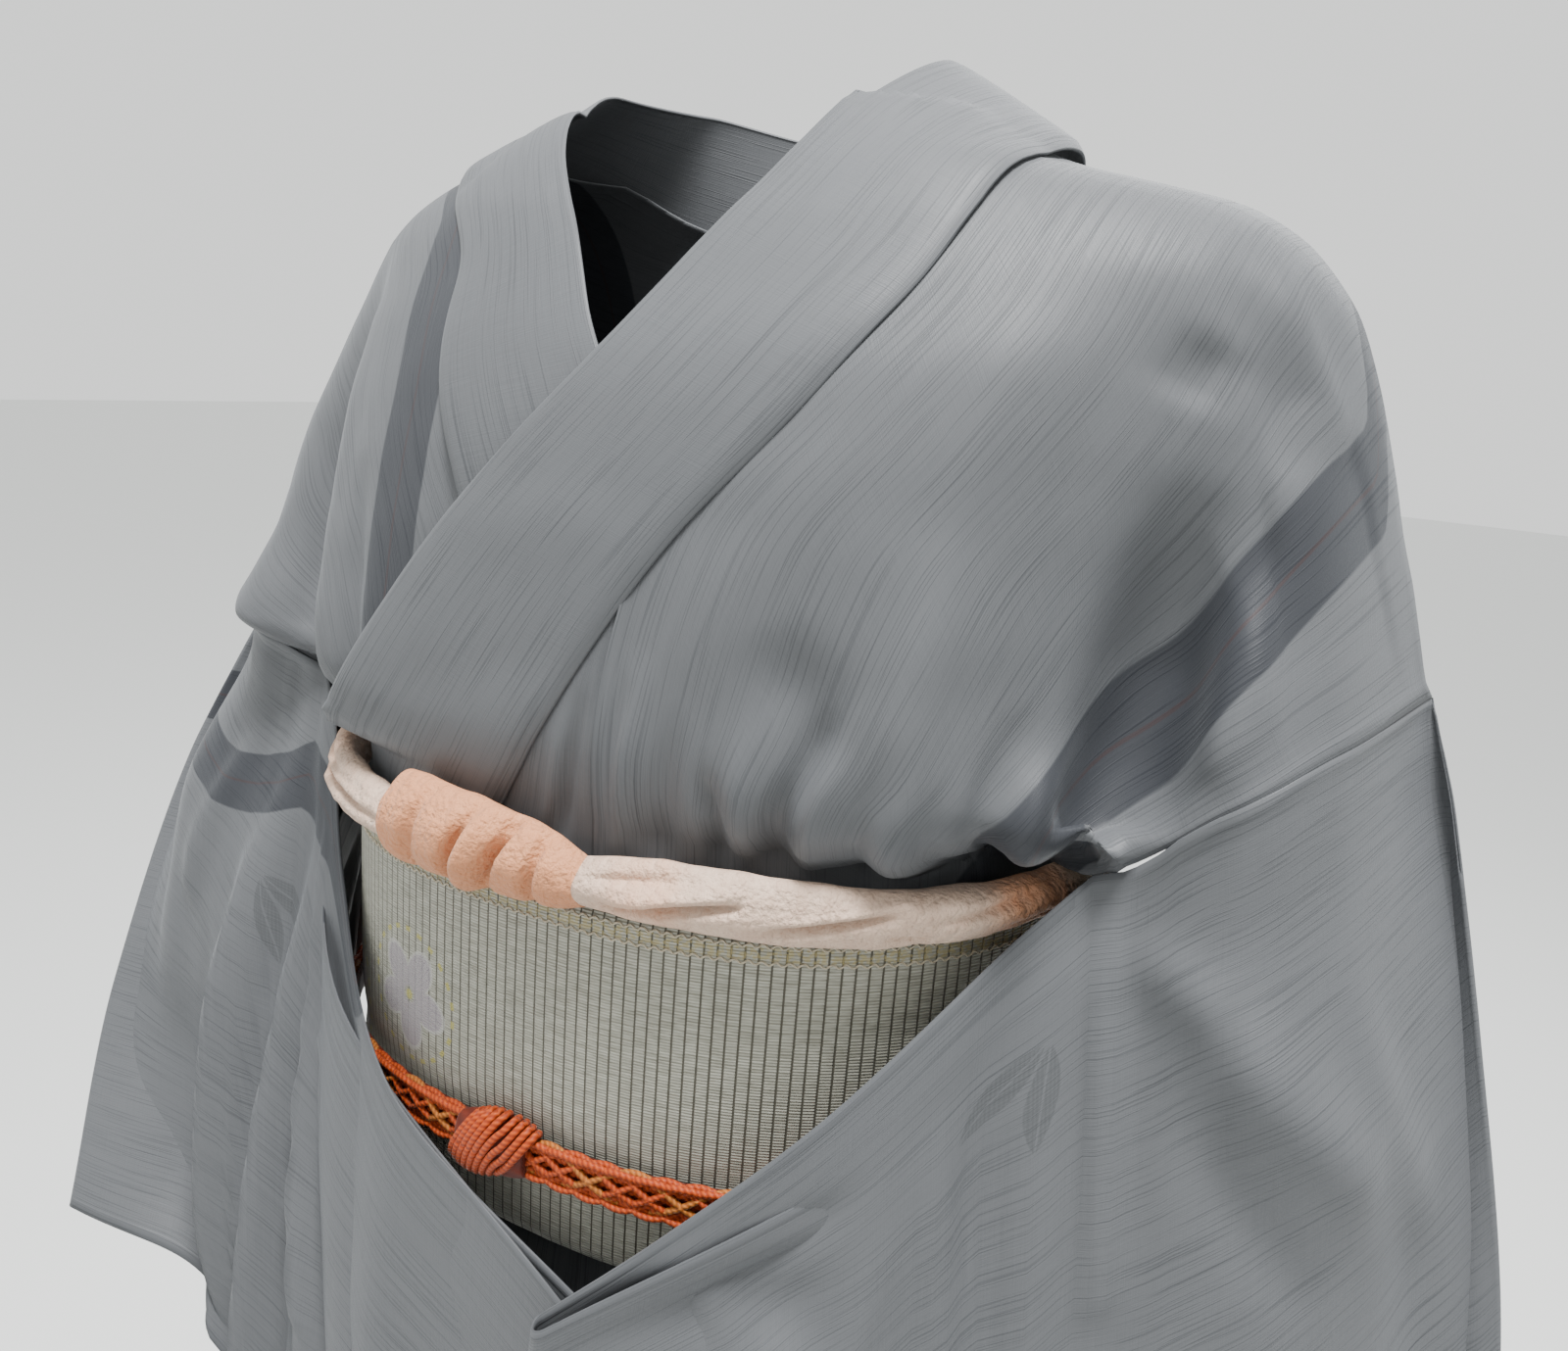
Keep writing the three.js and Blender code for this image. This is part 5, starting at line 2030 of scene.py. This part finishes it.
@dataclass(frozen=True)
class OpenCord:
    """One side of the cord: thin twisted cords that cross each other in a flat net, over a dark
    sheet of painted shade.
    """

    name: str
    stations: Table
    strands: int = 12
    wave: float = 74.0
    radius: float = 1.4
    half_height: float = 7.8
    half_depth: float = 1.4
    rows: int = 400
    gold_every: int = 6
    stand_off: float = 1.6
    core_height: float = 7.4
    core_depth: float = 2.0
    core_sunk: float = 1.2

    def _middle(self, along: Array) -> tuple[Array, Array, Array]:
        """The angle, layer and run of the cord's middle line."""
        degrees = self.stations.read("angle", along)
        return degrees, self.stations.read("layer", along), np.abs(RING.around(degrees))

    def _strand(self, number: int) -> Piece:
        """One thin cord of the net.

        Args:
            number: Which cord it is.

        Returns:
            The new object.
        """
        along = np.linspace(0, 1, self.rows + 1)
        degrees, layer, run = self._middle(along)
        phase = 2 * np.pi * (run / self.wave + number / self.strands)
        rise = self.half_height * np.sin(phase)
        out = self.stand_off + self.half_depth * np.cos(2 * phase + number * np.pi)
        level = FORM.obi_top + self.stations.read("z", along) + rise
        return tube(
            f"strand_{number}", RING.point(degrees, level, layer + out), self.radius, sides=6
        )

    def _core(self) -> Piece:
        """A dark flat sheet behind the net: painted shade that shows through its gaps.

        Returns:
            The new object.
        """
        around, along = net(10, 120)
        turn = 2 * np.pi * around
        degrees, layer, run = self._middle(along)
        level = FORM.obi_top + self.stations.read("z", along) + self.core_height * np.sin(turn)
        spots = RING.point(degrees, level, layer - self.core_sunk + self.core_depth * np.cos(turn))
        weave = np.stack([turn, run], axis=-1)
        return capped(Sheet(self.name + "_core", spots, weave, rolled=True).build())

    def build(self, finishes: Finishes) -> Piece:
        """Builds and dresses this side of the cord.

        Args:
            finishes: The garment's materials.

        Returns:
            The new object.
        """
        red = [self._strand(number) for number in range(self.strands) if number % self.gold_every]
        gold = [self._strand(number) for number in range(0, self.strands, self.gold_every)]
        # Painted shade: the dark sheet behind the net stands for the shade inside it.
        dressed(self._core(), finishes.core)
        dressed(joined(self.name + "_gold", gold), finishes.gold)
        net_piece = joined(self.name + "_net", red)
        return dressed(net_piece, finishes.red, (self.name,))


@dataclass(frozen=True)
class CordKnot:
    """The cord's knot: thin cords wrapped aslant round a short dark roll of painted shade."""

    name: str = "obijime_knot"
    middle_angle: float = -1.8
    level: float = -403.0
    layer: float = 24.5
    wraps: int = 9
    half_width: float = 5.6
    height: float = 15.0
    depth: float = 7.6
    slant: float = 6.5
    radius: float = 1.55
    shade_roll_past: float = 1.5
    shade_roll_share: float = 0.86
    mm_a_degree: float = 2.05

    def _wrap(self, number: int) -> Piece:
        """One cord round the roll.

        Args:
            number: Which cord it is.

        Returns:
            The new object.
        """
        turn = np.linspace(0, 2 * np.pi, 65)
        share = number / (self.wraps - 1) * 2 - 1
        narrow = 1 - 0.22 * share * share
        offset = share * self.half_width + self.slant * 0.5 * np.sin(turn)
        degrees = self.middle_angle + offset / self.mm_a_degree
        up = self.height * narrow * np.sin(turn)
        out = self.layer + self.depth * narrow * np.cos(turn)
        path = RING.point(degrees, self.level + up, out)
        return tube(f"wrap_{number}", path, self.radius, sides=7)

    def _shade_roll(self) -> Piece:
        """The short dark roll inside the wraps, painted shade between them.

        Returns:
            The new object.
        """
        around, along = net(24, 30)
        turn = 2 * np.pi * around
        share = along * 2 - 1
        narrow = 0.9 - 0.3 * share * share
        degrees = self.middle_angle + share * (self.half_width + self.shade_roll_past) / self.mm_a_degree
        up = self.level + self.height * narrow * np.sin(turn)
        out = self.layer + self.depth * self.shade_roll_share * narrow * np.cos(turn)
        spots = RING.point(degrees, up, out)
        weave = np.stack([turn, degrees], axis=-1)
        return capped(Sheet("obijime_knot_core", spots, weave, rolled=True).build())

    def build(self, finishes: Finishes) -> Piece:
        """Builds and dresses the knot.

        Args:
            finishes: The garment's materials.

        Returns:
            The new object.
        """
        wraps = [self._wrap(number) for number in range(self.wraps)]
        # Painted shade: the dark roll stands for the shade between the wraps.
        dressed(self._shade_roll(), finishes.core)
        return dressed(joined("obijime_knot_wraps", wraps), finishes.red, (self.name,))


@dataclass(frozen=True)
class WavyStitching:
    """Two rows of wavy stitching below the sash's top edge."""

    rows_below: tuple[float, ...] = (4.6, 11.2)
    wave: float = 5.0
    swing: float = 0.7
    radius: float = 0.45

    def build(self, finishes: Finishes) -> Piece:
        """Builds and dresses the rows.

        Args:
            finishes: The garment's materials.

        Returns:
            The new object.
        """
        degrees = np.linspace(-179, 179, 1500)
        run = RING.around(degrees)
        rows = []
        for below in self.rows_below:
            swing = self.swing * np.sin(2 * np.pi * run / self.wave)
            level = FORM.obi_top - below + swing
            layer = RING.layer + np.sin(np.pi * below / RING.height) + 0.15
            layer = layer + 0.5 * uneven(run, np.full(run.shape, below), 70)
            rows.append(tube("stitch_row", RING.point(degrees, level, layer), self.radius, 4))
        return dressed(joined("sash_stitching", rows), finishes.stitch)


# ---------------------------------------------------------------- the garment's own pieces


LEFT_BAND_SLANT = (0.866, -0.5)
LEFT_BAND_AT = 276.0
LEFT_BAND_BEHIND = 212.0
RIGHT_BAND_BEHIND = -148.0
BAND_LEAN = 0.12
BAND_CHANGE = (-0.06, 0.06)


def left_band(spots: Array, length: Array) -> Array:
    """How far each point of the left panel lies from the middle of its dark band.

    Args:
        spots: The points.
        length: How far along: 1 at the waist, minus behind.

    Returns:
        The distances in millimetres.
    """
    x, z = spots[..., 0], spots[..., 2]
    slanted = LEFT_BAND_SLANT[0] * x + LEFT_BAND_SLANT[1] * z - LEFT_BAND_AT
    behind = x - LEFT_BAND_BEHIND + BAND_LEAN * np.maximum(0, -60 - z)
    return mix(behind, slanted, smooth(*BAND_CHANGE, length))


RIGHT_BAND = Table(
    "z middle", (4, -150), (-20, -138), (-50, -104), (-80, -99), (-117, -93), (-200, -93),
    (-292, -92),
)


def right_band(spots: Array, length: Array) -> Array:
    """How far each point of the right panel lies from the middle of its dark band.

    Args:
        spots: The points.
        length: How far along: 1 at the waist, minus behind.

    Returns:
        The distances in millimetres.
    """
    x, z = spots[..., 0], spots[..., 2]
    behind = x - RIGHT_BAND_BEHIND + BAND_LEAN * z
    return mix(behind, x - RIGHT_BAND.read("middle", z), smooth(*BAND_CHANGE, length))


BODY_PANELS = (
    BodyPanel(
        name="body_left_cloth",
        side=LEFT,
        folds=folds(
            (209, -44, 240, -104, 4.5, 2.4), (200, -50, 228, -110, 7, -2.6),
            (203, -76, 196, -92, 12, -3.4), (205, -130, 197, -250, 15, -19.0),
            (228, -150, 226, -206, 10, 4.0), (184, -206, 172, -262, 7, 5.0),
            (170, -200, 158, -262, 6, -5.5), (112, -206, 93, -262, 6, -6.5),
            (122, -200, 104, -262, 6, 4.0), (93, -180, 112, -216, 14, -5.5),
            (70, -232, 76, -250, 3.6, -4.5), (76, -250, 73, -268, 3.6, -4.5),
            (84, -216, 85, -262, 6, 3.6), (37, -206, 25, -268, 4.0, -5.0),
            (43, -200, 34, -268, 4.4, 3.6), (58, -216, 52, -270, 6, -3.8),
            (141, -150, 130, -262, 11, 4.0), (152, -100, 160, -210, 22, -5.0),
            (104, -110, 62, -190, 20, 2.6), (134, -212, 122, -268, 6, -4.6),
            (150, -222, 146, -268, 6, -3.6),
        ),
        back_folds=folds(
            (60, -100, 40, -280, 16, -2.6), (120, -150, 90, -285, 13, 2.4),
            (190, -90, 150, -270, 14, -4.0), (30, -200, 24, -285, 7, -2.0),
            (140, -230, 130, -288, 6, -2.4),
        ),
        sprigs=(Sprig(78, 540, 36, 0.6), Sprig(70, 230, 40, 1.0), Sprig(150, 160, 44, 0.4)),
        band=left_band,
    ),
    BodyPanel(
        name="body_right_cloth",
        side=RIGHT,
        folds=folds(
            (-165, -60, -185, -230, 14, -8.0), (-150, -90, -140, -240, 10, 5.0),
            (-120, -150, -112, -262, 7, -4.6), (-66, -110, -60, -190, 8, -2.4),
            (-60, -190, -52, -268, 6, -3.6), (-88, -220, -80, -268, 5, 3.0),
        ),
        back_folds=folds(
            (-60, -100, -40, -280, 16, -2.8), (-120, -150, -96, -285, 13, 2.6),
            (-190, -90, -156, -270, 14, -4.2), (-34, -210, -28, -285, 7, -2.2),
        ),
        sprigs=(Sprig(60, 220, 42, 1.3), Sprig(160, 330, 42, 0.2)),
        band=right_band,
    ),
)

OVERLAP_PANELS = (
    OverlapPanel(
        "overlap_left_cloth", LEFT, tip_x=34.0, waist_x=-40.0, waist_angle=-14.5, tuck_angle=-50.0,
        folds=(Fold(20, -214, 9, -268, 3.6, -3.0), Fold(14, -222, 3, -268, 4.0, 2.2)),
    ),
    OverlapPanel(
        "overlap_right_cloth", RIGHT, tip_x=-37.0, waist_x=44.0, waist_angle=16.2, tuck_angle=50.0
    ),
)

LEFT_SLEEVE = Sleeve(
    name="sleeve_left_cloth",
    side=LEFT,
    ridge=Table(
        "at x y z", (0, 283, 15, -190), (0.33, 318, -6, -298), (0.66, 346, -28, -405),
        (1, 362, -50, -524),
    ),
    fold=Table("at x y z", (0, 50, -187, -427), (0.5, 40, -194, -600), (1, 34, -198, -775)),
    free_front=((0.35, 134, -134, -339), (0.7, 88, -166, -389)),
    free_back=((0.3, 196, -42, -310), (0.65, 134, -126, -365)),
    cuff=((0.28, 305, -115, -618), (0.54, 222, -166, -700), (0.78, 126, -194, -752)),
    folds=folds(
        (232, 4, 250, 200, 16, -9), (262, 10, 300, 260, 22, 7), (470, 10, 330, 60, 16, 8),
        (420, 0, 330, 90, 12, -5), (190, 30, 60, 150, 26, -6), (150, 180, 40, 300, 30, 6),
        (330, 200, 360, 350, 24, -7), (200, 230, 230, 350, 24, 6),
    ),
    creases=folds(
        (224, 12, 220, 120, 7, -6.0), (236, 30, 240, 150, 8, 4.0), (220, 18, 168, 53, 9, -4.5),
        (168, 53, 84, 125, 13, -6.0), (190, 70, 120, 150, 12, 4.0), (262, 30, 258, 140, 8, 4.5),
        (277, 40, 275, 120, 6, -5.0), (480, 12, 317, 36, 8, 4.0), (300, 60, 340, 150, 7, -3.0),
        (360, 60, 350, 160, 8, 3.0), (400, 70, 390, 200, 9, -3.0), (90, 60, 40, 160, 12, -4.0),
        (60, 120, 30, 300, 16, 4.0), (280, 200, 300, 340, 9, 3.0),
    ),
    sprigs=(Sprig(36, 242, 30, 0.25), Sprig(250, 120, 42, 1.4)),
)
RIGHT_SLEEVE = Sleeve(
    name="sleeve_right_cloth",
    side=RIGHT,
    ridge=Table(
        "at x y z", (0, -297, 15, -230), (0.33, -323, -50, -335), (0.66, -310, -112, -448),
        (1, -280, -163, -548),
    ),
    fold=Table("at x y z", (0, 58, -164, -441), (0.5, 53, -171, -610), (1, 50, -176, -788)),
    free_front=((0.35, -136, -112, -336), (0.7, -52, -156, -400)),
    free_back=((0.3, -190, -40, -312), (0.65, -112, -128, -378)),
    cuff=((0.22, -196, -140, -574), (0.5, -110, -190, -672), (0.78, -20, -190, -742)),
    folds=folds(
        (215, 60, 130, 350, 13, -15), (245, 50, 165, 350, 12, 11), (268, 60, 205, 350, 10, -9),
        (290, 60, 245, 350, 14, 8), (300, 90, 320, 330, 13, -6), (120, 60, 60, 200, 34, -12),
        (100, 200, 70, 330, 26, 8), (400, 40, 380, 330, 18, -6),
    ),
    creases=folds(
        (228, 62, 165, 330, 4.5, -6.0), (256, 60, 200, 330, 4.5, 4.5),
        (277, 26, 312, 190, 4.5, -5.0), (300, 60, 330, 200, 6, 4.0), (292, 42, 367, 60, 7, -3.0),
        (170, 40, 110, 150, 9, -4.0), (140, 160, 90, 300, 9, 4.0), (350, 60, 352, 300, 8, -3.0),
        (60, 40, 50, 200, 12, 3.0),
    ),
    sprigs=(Sprig(92, 214, 34, 0.4), Sprig(240, 120, 40, 1.8)),
    seam_fill=7.0,
    band=Table(
        "share down", (0, 84), (121, 80), (200, 58), (250, 34), (300, 10), (360, 2), (400, -60)
    ),
)

SKIRT_PANELS = (
    SkirtPanel("skirt_front_left_cloth", 5.9, 82.0, SkirtLayer.OVER, 0.72),
    SkirtPanel(
        "skirt_overlap_left_cloth", -50.0, 5.9, SkirtLayer.OVER, 0.0, width=150.0, columns=50
    ),
    SkirtPanel(
        "skirt_back_left_cloth", 82.0, 180.0, SkirtLayer.SIDE, 0.45, width=300.0, columns=50
    ),
    SkirtPanel(
        "skirt_back_right_cloth", 180.0, 278.0, SkirtLayer.SIDE, 0.55, width=300.0, columns=50
    ),
    SkirtPanel("skirt_front_right_cloth", -82.0, -1.8, SkirtLayer.UNDER, 0.35),
    SkirtPanel(
        "skirt_overlap_right_cloth", -1.8, 50.0, SkirtLayer.UNDER, 0.0, width=150.0, columns=50
    ),
)

BACK_STRIPS = (
    BackStrip(
        "obi_drum_cloth",
        Table(
            "at z layer", (0, -306, 22), (0.05, -272, 22.5), (0.11, -252, 34), (0.16, -246, 50),
            (0.22, -258, 68), (0.3, -300, 78), (0.45, -390, 84), (0.6, -480, 80), (0.7, -530, 66),
            (0.75, -543, 52), (0.8, -534, 36), (0.86, -500, 25.5), (1, -420, 24.9),
        ),
        half_width=150.0,
        flowers=((-40.0, 260.0, 34.0), (46.0, 310.0, 38.0)),
        rows=90,
        sag=0.8,
    ),
    BackStrip(
        "obi_tail_cloth",
        Table("at z layer", (0, -424, 20.8), (0.4, -500, 20.8), (0.6, -540, 28), (1, -622, 44)),
        half_width=150.0,
        flowers=((30.0, 160.0, 30.0),),
        sag=0.3,
    ),
    BackStrip(
        "obi_hand_cloth",
        Table("at z layer", (0, -345, 33.5), (1, -500, 33.5)),
        half_width=165.0,
        rows=26,
    ),
)

SCARF_ROLLS = (
    ScarfRoll(
        "obiage_left_silk",
        Table(
            "at angle layer depth height z", (0, 6.4, 23, 8, 9, 12), (0.1, 16, 23, 9, 12, 13.5),
            (0.5, 52, 22.4, 8.6, 10, 10.5), (0.8, 84, 20.5, 8, 8.5, 7.5),
            (1, 103, 20.5, 7.5, 8.5, 8),
        ),
        twist=9.0,
        creases=folds(
            (40, -7, 86, 3, 1.6, -5.0), (44, -2, 84, 7, 2.6, 2.6), (90, -7, 135, 4, 1.6, -4.6),
            (96, -2, 140, 7, 2.4, 2.2), (132, -6, 148, -8, 1.8, -3.6), (150, 0, 190, 6, 2.0, -3.4),
            (176, -8, 214, -2, 2.0, -3.4), (24, 4, 64, 9, 1.8, -3.0), (30, -3, 52, -7, 1.8, -2.4),
        ),
        blush=(Wash(59.0, 72.0, 0.9), Wash(10.0, 18.0, 0.25)),
        yellow=(Wash(76.0, 92.0, 0.9),),
    ),
    ScarfRoll(
        "obiage_right_silk",
        Table(
            "at angle layer depth height z", (0, -14.8, 23, 8, 10, 12),
            (0.2, -40, 22.6, 8.5, 12, 13.5),
            (0.7, -78, 21, 8, 10, 10.5), (1, -103, 20.5, 7.5, 8.5, 8),
        ),
        twist=7.0,
        creases=folds(
            (66, 1, 230, 1, 2.0, -8.0), (80, 7, 200, 8, 1.8, -2.4), (80, -6, 200, -6, 1.8, -2.4),
        ),
        blush=(Wash(-60.0, -40.0, 0.25),),
    ),
    ScarfRoll(
        "obiage_knot_silk",
        Table(
            "at angle layer depth height z", (0, -15.6, 24, 9, 16, 16),
            (0.16, -13.8, 27, 11, 19, 18.5), (0.55, -5, 27, 11.5, 18, 17.5),
            (0.85, 3, 25.5, 10, 14.5, 14.5), (1, 7, 23.5, 7, 9, 11.5),
        ),
        creases=folds(
            (7, 28, -13, -28, 2.2, -10.0), (-14, 16, -27, -28, 2.2, -8.5),
            (18, 24, 8, -28, 2.0, -5.0), (-4, 26, -20, -26, 3.4, 3.6),
            (-34, 22, -44, -20, 3.0, -3.6),
        ),
        blush=(Wash(-30.0, 12.0, 0.35),),
        knot=True,
        rows=110,
    ),
    ScarfRoll(
        "obiage_back_silk",
        Table(
            "at angle layer depth height z", (0, 103.4, 20.5, 7.5, 8.5, 8),
            (0.12, 116, 30, 9, 11, 12),
            (0.24, 130, 43, 14, 17, 14), (0.5, 180, 45, 15, 19, 14), (0.76, 230, 43, 14, 17, 14),
            (0.88, 244, 30, 9, 11, 12), (1, 256.6, 20.5, 7.5, 8.5, 8),
        ),
        creases=(Fold(300, -4, 420, 6, 2.4, -2.4), Fold(430, 8, 560, -6, 2.4, -2.4)),
    ),
)

CORDS = (
    OpenCord(
        "obijime_left",
        Table(
            "at angle layer z", (0, -2.0, 22, -111), (0.52, 94, 22.4, -111), (0.66, 118, 38, -111),
            (1, 179.9, 38, -111),
        ),
    ),
    OpenCord(
        "obijime_right",
        Table(
            "at angle layer z", (0, -3.4, 22, -111), (0.52, -94, 22.4, -111),
            (0.66, -118, 38, -111),
            (1, -179.9, 38, -111),
        ),
    ),
)


# ---------------------------------------------------------------- studio


@dataclass(frozen=True)
class Lamp:
    """One soft lamp: where it stands, what it points at, its size and power."""

    name: str
    place: tuple[float, float, float]
    size: float
    power: float
    target: tuple[float, float, float] = (0.0, 0.0, -0.3)

    def build(self) -> None:
        """Puts up the lamp."""
        light = bpy.data.lights.new(self.name, "AREA")
        light.size = self.size
        light.energy = self.power
        lamp = bpy.data.objects.new(self.name, light)
        toward = Vector(self.target) - Vector(self.place)
        lamp.matrix_world = (
            Matrix.Translation(self.place) @ toward.to_track_quat("-Z", "Y").to_matrix().to_4x4()
        )
        bpy.context.scene.collection.objects.link(lamp)


@dataclass(frozen=True)
class Studio:
    """The camera at the photograph's viewing angle, the pale floor and the soft light."""

    place: tuple[float, float, float] = (0.26971, -0.45210, -0.09126)
    azimuth: float = 27.976
    elevation: float = 15.167
    roll: float = 4.612
    lens: float = 26.896
    sensor: float = 36.0
    floor_level: float = -1.318
    floor_size: float = 30.0
    floor_cells: int = 8
    world: Color = (0.80, 0.81, 0.80)
    world_strength: float = 1.5
    lamps: tuple[Lamp, ...] = (
        Lamp("key", (0.35, -0.45, 1.9), 0.6, 150.0),
        Lamp("fill", (-1.5, -1.3, 0.4), 1.6, 5.0),
        Lamp("back", (0.2, 1.9, 1.2), 1.6, 20.0),
    )

    def camera(self) -> None:
        """Creates the camera."""
        data = bpy.data.cameras.new("camera")
        data.sensor_width = self.sensor
        data.lens = self.lens
        data.clip_start = 0.01
        data.clip_end = 100.0
        az, el, roll = (math.radians(a) for a in (self.azimuth, self.elevation, self.roll))
        back = Vector(
            (math.sin(az) * math.cos(el), -math.cos(az) * math.cos(el), math.sin(el))
        )
        right = Vector((math.cos(az), math.sin(az), 0.0))
        up = back.cross(right)
        turned = Matrix(
            (
                right * math.cos(roll) + up * math.sin(roll),
                up * math.cos(roll) - right * math.sin(roll),
                back,
            )
        ).transposed()
        camera = bpy.data.objects.new("camera", data)
        camera.matrix_world = Matrix.Translation(self.place) @ turned.to_4x4()
        bpy.context.scene.collection.objects.link(camera)
        bpy.context.scene.camera = camera

    def floor(self) -> None:
        """Lays the pale floor."""
        bm = bmesh.new()
        cells = self.floor_cells
        bmesh.ops.create_grid(bm, x_segments=cells, y_segments=cells, size=self.floor_size / 2)
        bmesh.ops.translate(bm, verts=bm.verts, vec=(0, 0, self.floor_level))
        floor = linked("floor", bm)
        floor.data.materials.append(PlainPaper().material())

    def light(self) -> None:
        """Puts up the lamps and the pale surroundings."""
        world = bpy.data.worlds.new("pale room")
        world.use_nodes = True
        background = world.node_tree.nodes["Background"]
        background.inputs["Color"].default_value = (*self.world, 1)
        background.inputs["Strength"].default_value = self.world_strength
        bpy.context.scene.world = world
        for lamp in self.lamps:
            lamp.build()

    def build(self) -> None:
        """Sets up the whole studio."""
        self.camera()
        self.floor()
        self.light()


# ---------------------------------------------------------------- building it all


@dataclass(frozen=True)
class FlatCut:
    """A piece's flat size in metres, how it is held and what it rests on."""

    width: float
    length: float
    held: str
    rests_on: tuple[str, ...]
    area: Optional[float] = None


def main() -> None:
    """Builds the studio and the garment, piece by piece."""
    logging.basicConfig(level=logging.INFO, format="%(name)s: %(message)s")
    Studio().build()
    finishes = Finishes.make()
    makers = (
        *BODY_PANELS, *OVERLAP_PANELS, Collar(), LEFT_SLEEVE, RIGHT_SLEEVE, *SKIRT_PANELS,
        ObiBand(), *BACK_STRIPS, WavyStitching(), *SCARF_ROLLS, *CORDS, CordKnot(),
    )
    pieces = [maker.build(finishes) for maker in makers]


if __name__ == "__main__":
    main()
